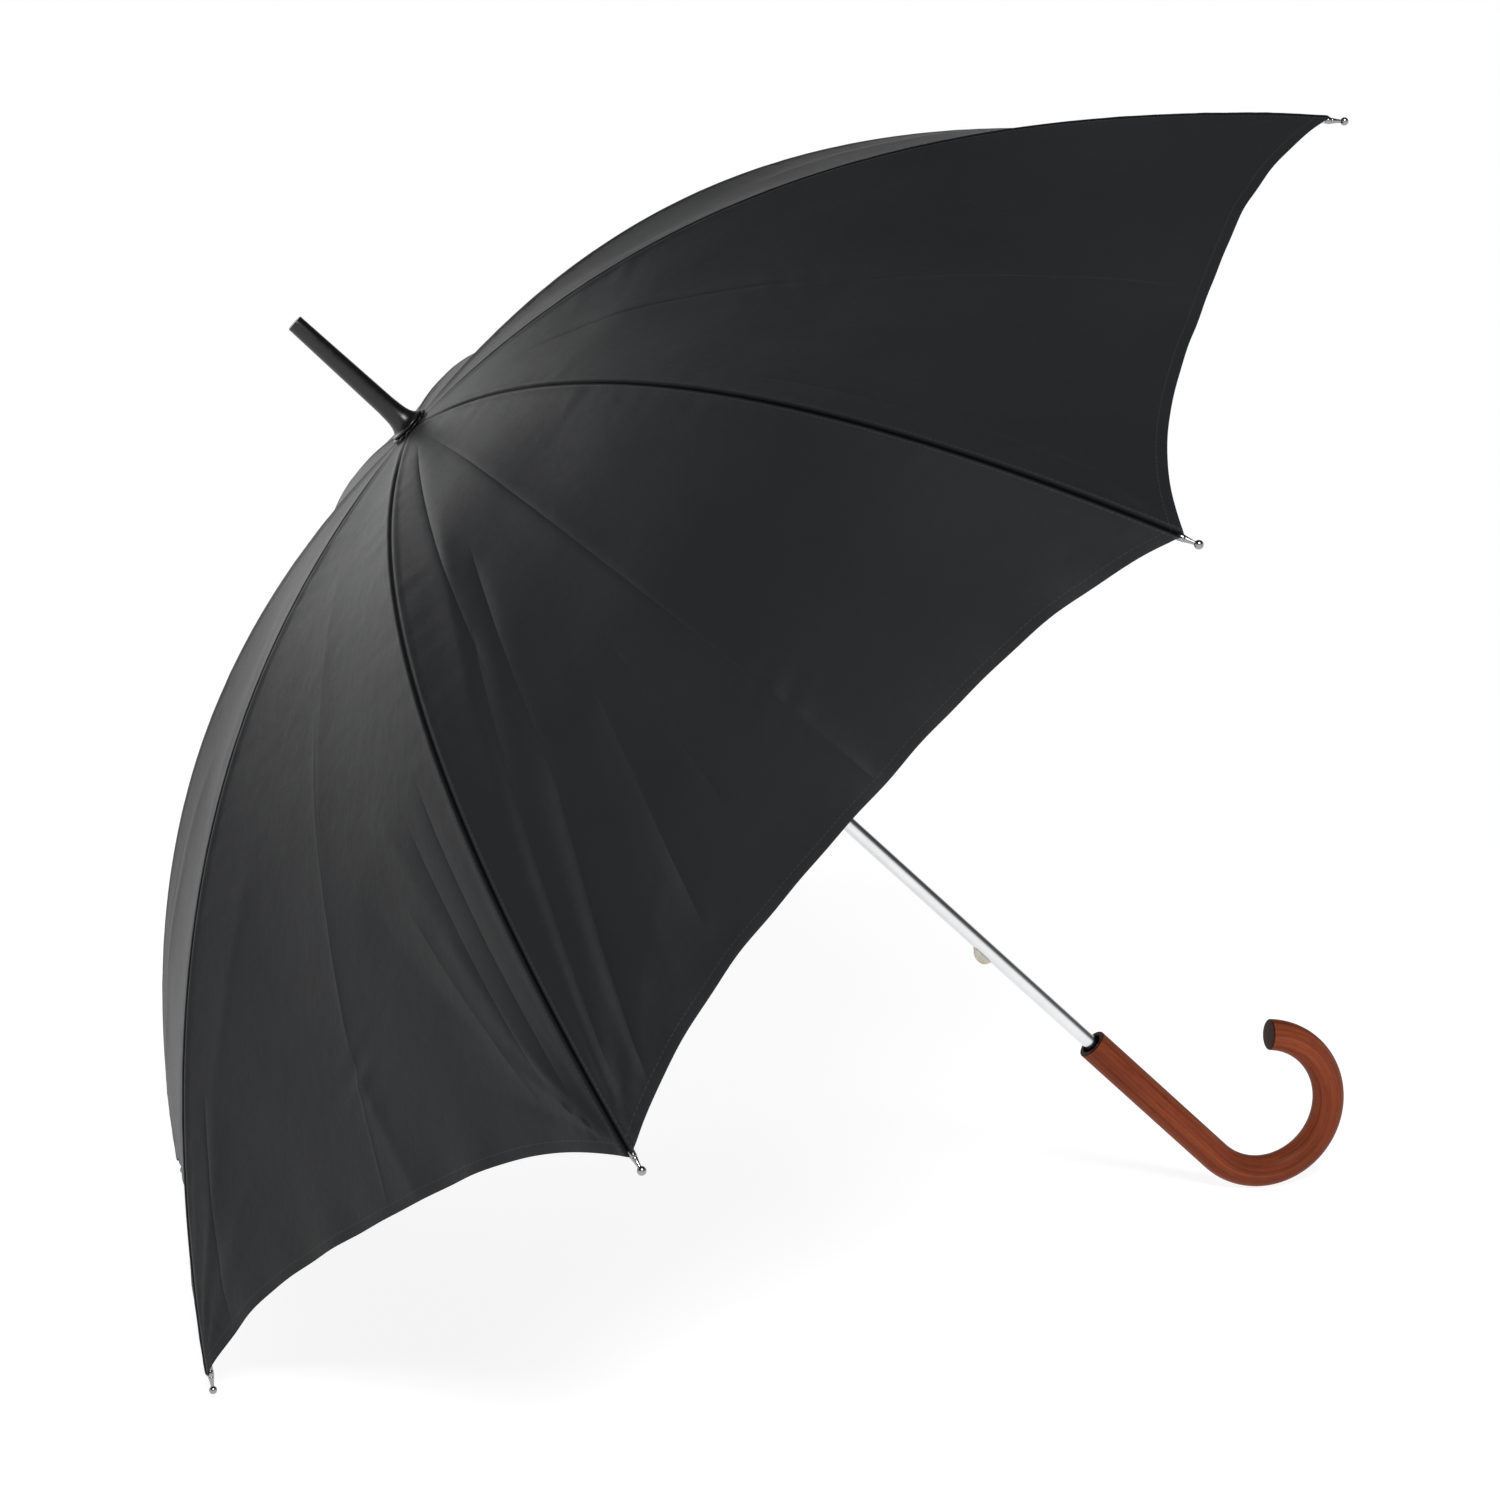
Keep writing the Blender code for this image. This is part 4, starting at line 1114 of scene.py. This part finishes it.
def rib_tip(number, mat):
    """The metal tip that the canopy's corner is tied to."""
    end = meridian(CANOPY_RADIUS, RIB_BELOW_FABRIC)
    ahead = (end - meridian(CANOPY_RADIUS - 0.001, RIB_BELOW_FABRIC)).normalized()
    turn = Vector((0, 0, 1)).rotation_difference(ahead).to_matrix().to_4x4()
    points, faces = turned(tip_profile(), 28)
    points = moved(points, Matrix.Translation(end) @ turn)
    angle = azimuth(number)
    name = f"rib_{number}_tip_turned"
    mesh = mesh_from(name, *spun((points, faces), angle), 60)
    obj = piece(name, mesh, mat, "bright_metal", f"rib_{number}_outer", f"rib_{number}_tip")
    bend = Matrix.Rotation(TIP_STRAIGHTENING, 4, "Y")
    straighten = Matrix.Translation(end) @ bend @ Matrix.Translation(-end)
    straight = turned_to(moved(points, straighten), angle)
    closed = closed_body(number, "outer")
    furls(obj, moved(straight, TO_UPRIGHT @ closed @ UPRIGHT), closed)


def stretcher(number, mat):
    """A straight channel from the runner to the rib's ear, with a flat tab and a rivet's head."""
    reach = meridian(FLEX_RADIUS, RIB_BELOW_FABRIC + EAR_DROP) - RUNNER_PIVOT
    direction = reach.normalized()
    normal = upward_of(direction)
    stations = []
    for along, side in (*STRETCHER_STEP, (reach.length - 0.006, 1)):
        stations.append((direction * along + Vector((0, side * STRETCHER_SIDE, 0)), normal))
    channel = lofted(channel_rings(stations, channel_section(*STRETCHER_CHANNEL)))
    root = tongue(direction, 0.0115)
    outline = [reach + direction * a + normal * b for a, b in arc((0, 0), 0.0018, -90, 90, 11)]
    back = reach - direction * 0.014
    outline += [back + normal * 0.0009, back - normal * 0.0009]
    inner = STRETCHER_SIDE - 0.0013
    tab = plate([(p.x, p.z) for p in outline], inner, inner + 0.0010)
    head = rivet(reach, inner + 0.0004, inner + 0.0017, 0.0013)
    shape = spun(shifted(joined(channel, root, tab, head), RUNNER_PIVOT), azimuth(number))
    name, body = f"stretcher_{number}_channel", f"stretcher_{number}"
    bevelled(piece(name, mesh_from(name, *shape), mat, "plated_steel", body, body), 0.00012, 1)


# --- pieces on the shaft ---


SLOT_WIDTH = 0.0021
BEYOND = 0.01
GRIP_RINGS = 4
FERRULE_NECK = 0.0062
FERRULE_EDGE = 0.0009


def slots(inner, low, high):
    """Radial cutters at the eight ribs, which reach beyond any hub."""
    cutter = block((inner, -SLOT_WIDTH / 2, low), (0.02, SLOT_WIDTH / 2, high))
    return [spun(cutter, azimuth(number)) for number in range(1, RIBS + 1)]


def shaft_tube(mat):
    """The polished tube, slotted for its two catches."""
    bottom = HANDLE_TOP - SHAFT_IN_HANDLE
    profile = [(SHAFT_BORE, bottom), (SHAFT_RADIUS, bottom)]
    profile += [(SHAFT_RADIUS, SHAFT_TOP), (SHAFT_BORE, SHAFT_TOP)]
    cutters = []
    half, rise = CATCH_WIDTH / 2 + GAP, CATCH_LENGTH / 2 + GAP
    for catch in ("top_catch", "bottom_catch"):
        height = catch_height(catch)
        cutters.append(block((-2 * SHAFT_RADIUS, -half, height - rise), (0, half, height + rise)))
    mesh = cut_mesh("shaft_tube", turned(profile, 72), cutters)
    piece("shaft_tube", mesh, mat, "polished_tube", "frame", "shaft")


def catch_height(name):
    """The middle of a catch's button, half its length above the CAD node's lowest point."""
    vertices = frame["nodes"][name].data.vertices
    return min((TO_UPRIGHT @ vertex.co).z for vertex in vertices) + CATCH_LENGTH / 2


def ferrule_cap(mat):
    """The black ferrule, from its flared base to its rounded end."""
    base, bore = FERRULE_BASE, SHAFT_RADIUS + GAP
    profile = [(0, SHAFT_TOP + 0.001), (bore, SHAFT_TOP + 0.001)]
    profile += [(bore, base), (FLANGE_RADIUS - 0.0007, base)]
    for r, h in arc((0, 0), FERRULE_EDGE, -70, 80, 8):
        profile.append((FLANGE_RADIUS - FERRULE_EDGE + r, base + FERRULE_EDGE + h))
    profile += [(0.0095, base + 0.0026), (0.0084, base + 0.0040), (0.0076, base + 0.0060)]
    profile += [(0.0070, base + 0.0085), (0.0066, base + 0.0120), (FERRULE_NECK, base + 0.0180)]
    for share in (0.25, 0.5, 0.75):
        radius = FERRULE_NECK + (FERRULE_RADIUS - FERRULE_NECK) * share
        profile.append((radius, base + 0.018 + (FERRULE_TIP - base - 0.019) * share))
    for r, h in arc((0, 0), FERRULE_EDGE, 0, 90, 7):
        profile.append((FERRULE_RADIUS - FERRULE_EDGE + r, FERRULE_TIP - FERRULE_EDGE + h))
    profile.append((0, FERRULE_TIP))
    mesh = mesh_from("ferrule_cap", *turned(profile, 64), 40)
    piece("ferrule_cap", mesh, mat, "gloss_black", "frame", "ferrule")


def washer_rosette(mat):
    """A gathered rosette of glossy cloth between the canopy and the ferrule."""
    pleats, start, width = 14, 0.0053, 0.0077
    turns = [2 * math.pi * i / (12 * pleats) for i in range(12 * pleats)]
    rings = []
    outline = [(start, 0.0008), (0.0085, 0.0007), (0.0112, 0.0007), (0.0126, 0.0009), (0.0130, 0.0013)]
    outline += [(0.0126, 0.0018), (0.0112, 0.0021), (0.0085, 0.0020), (start, 0.0020)]
    for radius, height in outline:
        swell = (radius - start) / width
        lift = 0.00035 * swell * (height > 0.0010)
        ring = []
        for turn in turns:
            reach = radius + 0.0006 * swell * abs(math.cos(pleats * turn / 2)) ** 0.7
            ruffled = height + lift * math.cos(pleats * turn)
            ring.append((reach * math.cos(turn), reach * math.sin(turn), ruffled))
        rings.append(ring)
    mesh = mesh_from("washer_rosette", *lofted(rings + [rings[0]], capped=False), 80)
    face_out(mesh, 1e-7)
    piece("washer_rosette", mesh, mat, "gloss_black", "frame", "canopy_washer")


def wire_groove(radius, top, floor):
    """The part of a hub's profile that holds its wire ring."""
    half = WIRE_RADIUS + GAP
    return [(radius + half, top), (radius + half, floor), (radius - half, floor), (radius - half, top)]


def crown(mat):
    """The slotted top notch that the ribs hinge in."""
    bore, rim = SHAFT_RADIUS + GAP, 0.0112
    top, bottom = -0.0006, NOTCH_PIVOT.z - 0.0044
    floor = NOTCH_PIVOT.z - WIRE_RADIUS - GAP
    profile = [(bore, top), (bore, bottom), (rim - 0.0015, bottom), (rim, bottom + 0.0012)]
    profile += [(rim, top - 0.0006), (rim - 0.0006, top), *wire_groove(NOTCH_PIVOT.x, top, floor)]
    mesh = cut_mesh("crown", turned(profile, 64), slots(0.0062, bottom - BEYOND, top + BEYOND))
    piece("crown", mesh, mat, "satin_black", "frame", "top_notch")


def runner_body(mat):
    """The sliding hub and sleeve."""
    z, sleeve, hub = RUNNER_PIVOT.z, RUNNER_SLEEVE, RUNNER_HUB
    top, floor, end = 0.0034, -WIRE_RADIUS - GAP, -RUNNER_BELOW_PIVOT
    profile = [(RUNNER_BORE, top), (RUNNER_BORE, end), (sleeve + 0.0010, end)]
    profile += [(sleeve + 0.0018, end + 0.0009), (sleeve + 0.0018, end + 0.0020)]
    profile += [(sleeve + 0.0010, end + 0.0034), (sleeve, end + 0.0058), (sleeve, end + 0.0120)]
    for ring in range(GRIP_RINGS):
        low = end + 0.0135 + 0.0030 * ring
        profile += [(sleeve, low), (sleeve - 0.0004, low + 0.0004)]
        profile += [(sleeve - 0.0004, low + 0.0010), (sleeve, low + 0.0014)]
    profile += [(sleeve, -0.0125), (sleeve + 0.0012, -0.0098), (hub - 0.0018, -0.0066)]
    profile += [(hub - 0.0004, -0.0056), (hub, -0.0046), (hub, top - 0.0008), (hub - 0.0008, top)]
    profile += wire_groove(RUNNER_PIVOT_RADIUS, top, floor)
    half = CATCH_WIDTH / 2 + 2 * GAP
    cutters = slots(0.0077, floor - 0.0016, top + BEYOND)
    cutters.append(block((-0.02, -half, end - BEYOND), (-0.003, half, top + BEYOND)))
    cutters = [shifted(cutter, (0, 0, z)) for cutter in cutters]
    mesh = cut_mesh("runner_body", shifted(turned(profile, 64), (0, 0, z)), cutters)
    piece("runner_body", mesh, mat, "satin_black", "runner", "runner")


def catch_button(name, mat):
    """A half-round button on its flat spring; only the button shows."""
    base = SHAFT_RADIUS - 0.0006
    top = SHAFT_RADIUS + CATCH_PROUD
    half = CATCH_LENGTH / 2
    outline = [(-0.0010, 0.026), (-0.0010, -half), (-base, -half), (-base - 0.0014, -half + 0.0002)]
    outline += [(-base - 0.0030, -half + 0.0012), (-top + 0.0012, -half + 0.0026)]
    outline += [(-top + 0.0003, -half + 0.0044), (-top, -half + 0.0064), (-top + 0.0002, 0.0002)]
    outline += [(-top + 0.0008, 0.0022), (-top + 0.0018, 0.0042)]
    outline += [(-base - 0.0018, half - 0.0018), (-base - 0.0008, half - 0.0006), (-base, half)]
    outline += [(-0.0020, half), (-0.0018, 0.026)]
    shape = shifted(plate(outline, -CATCH_WIDTH / 2, CATCH_WIDTH / 2), (0, 0, catch_height(name)))
    button = f"{name}_button"
    bevelled(piece(button, mesh_from(button, *shape), mat, "ivory_nylon", name, name), 0.00045, 3, 50)


HANDLE_RIM = 0.0009
CROOK_ROUND = 0.0012
HANDLE_SIDES = 56
HANDLE_STEPS = 30
CROOK_STEPS = 72
# Radius and depth of the recess at the handle's top
RECESS = ((0.0072, 0), (0.0068, 0.0006), (0.0066, 0.0040))
# How dark the wood is coloured: painted shade in the recess, and darker end grain at the rim and at the
# crook's end, over this many rings
RECESS_PAINTED_SHADE, DARK_RIM, DARK_END = 1.0, 0.85, 0.9
DARK_RINGS = 4


def crook_stations():
    """Centre, turn and radius of the handle's rings from its top to the end of the crook."""
    bottom, start = HANDLE_TOP - HANDLE_STRAIGHT, HANDLE_TOP - HANDLE_RIM
    stations = []
    for rim_turn in range(90, -15, -15):
        turn = math.radians(rim_turn)
        radius = HANDLE_RADIUS - HANDLE_RIM + HANDLE_RIM * math.cos(turn)
        stations.append((Vector((0, 0, start + HANDLE_RIM * math.sin(turn))), 0.0, radius))
    for i in range(1, HANDLE_STEPS + 1):
        height = start + (bottom - start) * i / HANDLE_STEPS
        stations.append((Vector((0, 0, height)), 0.0, HANDLE_RADIUS))
    for i in range(1, CROOK_STEPS + 1):
        turn = CROOK_SWEEP * i / CROOK_STEPS
        centre = CROOK_RADIUS * Vector((1 - math.cos(turn), 0, -math.sin(turn)))
        stations.append((centre + Vector((0, 0, bottom)), turn, HANDLE_RADIUS))
    last = stations[-1][0]
    ahead = Vector((math.sin(CROOK_SWEEP), 0, -math.cos(CROOK_SWEEP)))
    for end_turn in range(15, 105, 15):
        turn = math.radians(end_turn)
        radius = HANDLE_RADIUS - CROOK_ROUND + CROOK_ROUND * math.cos(turn)
        stations.append((last + CROOK_ROUND * math.sin(turn) * ahead, CROOK_SWEEP, radius))
    return stations


def handle_grip(mat):
    """The turned and bent crook, with a bored recess at its top, painted shade in the recess, and a dark
    edge round it.
    """
    rings, lengths, before = [], [0.0], None
    for centre, turn, radius in crook_stations():
        side = Vector((math.cos(turn), 0, math.sin(turn)))
        circle = arc((0, 0), radius, 0, 360, HANDLE_SIDES + 1)[:-1]
        rings.append([centre + side * a + Vector((0, b, 0)) for a, b in circle])
        if before is not None:
            lengths.append(lengths[-1] + (centre - before).length)
        before = centre
    bore = SHAFT_RADIUS + GAP
    recess = [*RECESS, (bore, 0.0048), (bore, SHAFT_IN_HANDLE + 0.001)]
    around = np.linspace(0, 1, HANDLE_SIDES, endpoint=False)
    inner = []
    for radius, depth in reversed(recess):
        height = HANDLE_TOP - depth
        turns = 2 * math.pi * around
        inner.append([Vector((radius * math.cos(a), radius * math.sin(a), height)) for a in turns])
    mesh = smooth_mesh("handle_grip", *lofted(inner + rings))
    shade(mesh, 50)
    mirrored = np.abs(around * 2 - 1) * math.pi * HANDLE_RADIUS
    along = np.repeat([0.0] * len(inner) + lengths, HANDLE_SIDES)
    set_flat_map(mesh, "grain", np.tile(mirrored, len(inner) + len(rings)) + 0.2, along + 0.1)
    plain = [0.0] * (len(rings) - 2 * DARK_RINGS)
    # The recess is painted near black as shade; the rim and the crook's end are darker end grain
    dark = [RECESS_PAINTED_SHADE] * len(inner) + [DARK_RIM] * DARK_RINGS + plain + [DARK_END] * DARK_RINGS
    set_point_values(mesh, "dark_end_grain_and_recess_shade", np.repeat(dark, HANDLE_SIDES))
    piece("handle_grip", mesh, mat, "handle_wood", "frame", "handle")


# --- closing strap ---

STRAP_LIFT = 0.0023
STRAP_THICKNESS = 0.0008
STRAP_CROWNING = 0.0004
STRAP_ROUNDING = 0.06
STRAP_ROWS, STRAP_COLUMNS = 9, 61
# The closed strap's distance from its root, and where its end climbs over itself and how far
BAND_CLEARANCE = 0.0022
OVERLAP_TURN = 1.8 * math.pi
OVERLAP_RISE = 0.0018
# Three places of the strap that give the stud's frame
STUD_CORNERS = ((0, 0), (0.005, 0), (0, 0.02))


def strap(fabric, metal):
    """The tie strap on a far panel, which becomes a band round the furled roll, and its press stud."""
    half = STRAP_WIDTH_SHARE / 2
    share, across = np.meshgrid(
        np.linspace(STRAP_RADIUS_SHARE - half, STRAP_RADIUS_SHARE + half, STRAP_ROWS),
        np.linspace(STRAP_ROOT, STRAP_END, STRAP_COLUMNS),
        indexing="ij",
    )
    edge = np.abs(np.linspace(-1, 1, STRAP_ROWS))[:, None]
    rounded = np.clip((across - (STRAP_END - STRAP_ROUNDING)) / STRAP_ROUNDING, 0, 1) ** 2
    share = STRAP_RADIUS_SHARE + (share - STRAP_RADIUS_SHARE) * (1 - 0.55 * rounded)
    hump = STRAP_CROWNING * (1 - edge**4)
    lift = STRAP_LIFT + hump + 0.0005 * np.sin(across * 21)
    panel_turn = 2 * STRAP_PANEL * HALF_PANEL
    points = turned_to(canopy_points(share, across, lift), panel_turn)
    width = STRAP_WIDTH_SHARE * CANOPY_RADIUS
    # Distance from the strap's long edges, plus a little; the cloth's painted seam shade darkens the
    # strap along them
    seam_gap = (1 - edge) * width / 2 + 0 * across + 0.0012
    mesh = sheet_mesh("tie_strap_band", share, across, points, seam_gap, 1 + 0 * across)
    obj = piece("tie_strap_band", mesh, fabric, "canopy_fabric", "frame", "tie_strap")
    furls(obj, strap_band(share, across, 0.0006 + hump), Matrix.Identity(4))
    solid = obj.modifiers.new("thickness", "SOLIDIFY")
    solid.thickness = STRAP_THICKNESS
    solid.offset = -1
    stud(metal, panel_turn)


def strap_band(share, across, lift):
    """The strap's places round the roll, from its root on a flap's edge."""
    root = furled_canopy(np.full(1, STRAP_RADIUS_SHARE), np.full(1, -0.02), STRAP_PANEL)[0]
    radius = math.hypot(root[0], root[1]) + BAND_CLEARANCE
    turn = (across - STRAP_ROOT) * STRAP_RADIUS_SHARE * HALF_WIDTH / radius
    angle = math.atan2(root[1], root[0]) + turn
    reach = radius + smooth_step((turn - OVERLAP_TURN) / 0.6) * OVERLAP_RISE + lift
    height = root[2] - (share - STRAP_RADIUS_SHARE) * CANOPY_RADIUS
    return np.stack([reach * np.cos(angle), reach * np.sin(angle), height], axis=-1).reshape(-1, 3)


def stud(metal, panel_turn):
    """A small domed press stud near the strap's end."""
    open_corners, closed_corners = [], []
    for more_share, more_across in STUD_CORNERS:
        place = np.full(1, STRAP_RADIUS_SHARE) + more_share, np.full(1, SNAP_PLACE) + more_across
        open_corners.append(canopy_points(*place, np.full(1, STRAP_LIFT + STRAP_CROWNING))[0])
        closed_corners.append(strap_band(*place, 0.0010)[0])
    profile = [(0, -0.0006), (0.0058, -0.0006), (0.0060, -0.0002), (0.0058, 0.0003), (0.0046, 0.0006)]
    profile += [(0.0042, 0.0011), (0.0034, 0.0015), (0.0020, 0.0018), (0, 0.0019)]
    points, faces = turned(profile, 40)
    open_points = moved(points, stud_frame(turned_to(open_corners, panel_turn)))
    mesh = mesh_from("tie_strap_stud", open_points, faces, 50)
    obj = piece("tie_strap_stud", mesh, metal, "bright_metal", "frame", "tie_strap_snap")
    furls(obj, moved(points, stud_frame(closed_corners)), Matrix.Identity(4))


def stud_frame(points):
    """A frame at the first point, with its Z out of the surface through all three."""
    origin, along, sideways = (Vector(p) for p in points)
    x = (sideways - origin).normalized()
    out = (along - origin).cross(x).normalized()
    y = out.cross(x)
    return Matrix.Translation(origin) @ Matrix((x, y, out)).transposed().to_4x4()


# --- small CAD pieces that keep their shape ---


def dress_cad_node(name, mat):
    """A better material and softer edges for a CAD node whose shape is right."""
    obj = frame["nodes"][name]
    obj.data.materials.clear()
    obj.data.materials.append(mat)
    obj.data.shade_smooth()
    weld = obj.modifiers.new("weld", "WELD")
    weld.merge_threshold = 0.00001
    split = obj.modifiers.new("edges", "EDGE_SPLIT")
    split.split_angle = math.radians(35)


# --- stage ---

CAMERA_OFFSET = Vector((-0.055, -1.776, 0.6465))
CAMERA_FORWARD = Vector((0.2201, 0.9585, -0.1813))
CAMERA_ROLL = math.radians(-0.23)
CAMERA_LENS = 71.54
# The floor is plain glow beyond the second distance and takes shade within the first
FLOOR_SHADED, FLOOR_PLAIN = 0.7, 2.2
FLOOR_HALF_SIZE = 12.0
FLOOR_DROP = 0.0005


def camera_origin():
    """The floor point that CAMERA_OFFSET starts from, midway between the two lowest rib tips."""
    (low, high), (other_low, other_high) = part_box("rib_4_tip"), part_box("rib_5_tip")
    return Vector((low.x, (low.y + high.y + other_low.y + other_high.y) / 4, 0))


def camera():
    data = bpy.data.cameras.new("camera")
    data.lens = CAMERA_LENS
    data.sensor_width = 36
    data.clip_start = 0.05
    obj = linked("camera", data)
    obj.location = camera_origin() + CAMERA_OFFSET
    turn = CAMERA_FORWARD.to_track_quat("-Z", "Y").to_matrix().to_4x4()
    obj.rotation_euler = (turn @ Matrix.Rotation(CAMERA_ROLL, 4, "Z")).to_euler()
    bpy.context.scene.camera = obj


def area_light(name, place, target, size, power):
    data = bpy.data.lights.new(name, "AREA")
    data.shape = "RECTANGLE"
    data.size, data.size_y = size
    data.energy = power
    obj = linked(name, data)
    obj.location = place
    obj.rotation_euler = (Vector(target) - Vector(place)).to_track_quat("-Z", "Y").to_euler()


def surround():
    """A studio's light: bright low down and behind the camera's subject, dim above and in front."""
    world = bpy.data.worlds.new("studio")
    bpy.context.scene.world = world
    world.use_nodes = True
    sky = world.node_tree
    direction = node(sky, "ShaderNodeTexCoord").outputs["Generated"]
    split = node(sky, "ShaderNodeSeparateXYZ", {"Vector": direction})
    by_height = ramp(sky, split.outputs["Z"], [(0.0, 1.0), (0.22, 1.0), (0.50, 0.15), (1.0, 0.10)])
    behind = value_between(sky, split.outputs["Y"], 0.5, 1.0)
    by_side = ramp(sky, behind, [(0.50, 0.15), (0.68, 0.34), (0.90, 1.0)])
    glow = layered(sky, 1.0, by_height, by_side, "MULTIPLY")
    rim = ramp(sky, split.outputs["Z"], [(0.0, 1.0), (0.07, 1.0), (0.20, 0.30), (0.42, 0.0)])
    feed(sky.nodes["Background"], Color=layered(sky, 1.0, glow, rim, "LIGHTEN"))
    bpy.context.scene.view_settings.view_transform = "Standard"


def floor_material():
    """A pale floor that glows of itself, so that it ends without a horizon."""
    glow = {"Emission_Color": (1, 1, 1, 1), "Specular_IOR_Level": 0.0}
    mat, tree, shader = material("pale_floor", 0.9, **glow)
    place = object_place(tree)
    reach = {"Value": vector_maths(tree, "LENGTH", "Value", place)}
    reach.update({"From Min": FLOOR_SHADED, "From Max": FLOOR_PLAIN})
    reach = node(tree, "ShaderNodeMapRange", reach).outputs["Result"]
    near_tone = ramp(tree, noise(tree, place, 3.0), [(0.3, 0.36), (0.7, 0.38)])
    feed(
        shader,
        Base_Color=layered(tree, reach, near_tone, (0.0, 0.0, 0.0, 1)),
        Emission_Strength=value_between(tree, reach, 0.88, 1.0),
    )
    return mat


def stage():
    """A pale seamless floor, a bright surround and soft lamps."""
    surround()
    mesh = bpy.data.meshes.new("floor")
    far = FLOOR_HALF_SIZE
    corners = [(-far, -far, 0), (far, -far, 0), (far, far, 0), (-far, far, 0)]
    mesh.from_pydata(corners, [], [(0, 1, 2, 3)])
    mesh.materials.append(floor_material())
    floor = linked("floor", mesh)
    floor.location.z = -FLOOR_DROP
    area_light("key", (-1.6, 2.2, 1.3), (-0.2, 0, 0.4), (1.8, 1.2), 15)
    area_light("front", (-0.2, -2.4, 2.6), (0.1, 0, 0.3), (1.2, 1.0), 80)


# --- the whole umbrella ---


def build():
    camera()
    plain = fabric_material("canopy_cloth")
    usual = fabric_material("canopy_cloth_folded", USUAL_FOLD_LINES)
    cloths = {n: fabric_material(f"canopy_cloth_{n}", lines) for n, lines in FOLD_LINES.items()}
    steel = metal_material("nickel_plated_steel", (0.60, 0.60, 0.61), 0.30)
    bright = metal_material("bright_chrome", (0.86, 0.86, 0.87), 0.14, 0.03)
    tip_metal = metal_material("tip_chrome", (0.34, 0.34, 0.35), 0.24, 0.04)
    tube = metal_material("polished_tube_metal", (0.80, 0.81, 0.82), 0.17, 0.03)
    gloss = plastic_material("gloss_black_plastic", (0.006, 0.006, 0.007), 0.30)
    satin = plastic_material("satin_black_plastic", (0.018, 0.018, 0.019), 0.45)
    milky = {"Subsurface_Weight": 0.25, "Subsurface_Scale": 0.004}
    nylon = plastic_material("ivory_nylon_plastic", (0.62, 0.59, 0.50), 0.38, **milky)

    for number in range(1, RIBS + 1):
        canopy_panel(number, cloths.get(number, usual))
        rib(number, steel)
        rib_tip(number, tip_metal)
        stretcher(number, steel)
    shaft_tube(tube)
    ferrule_cap(gloss)
    washer_rosette(gloss)
    crown(satin)
    runner_body(satin)
    catch_button("top_catch", nylon)
    catch_button("bottom_catch", nylon)
    handle_grip(wood_material())
    strap(plain, bright)
    for name in ("notch_wire", "runner_wire", "runner_stop_pin"):
        dress_cad_node(name, steel)
    stage()


build()
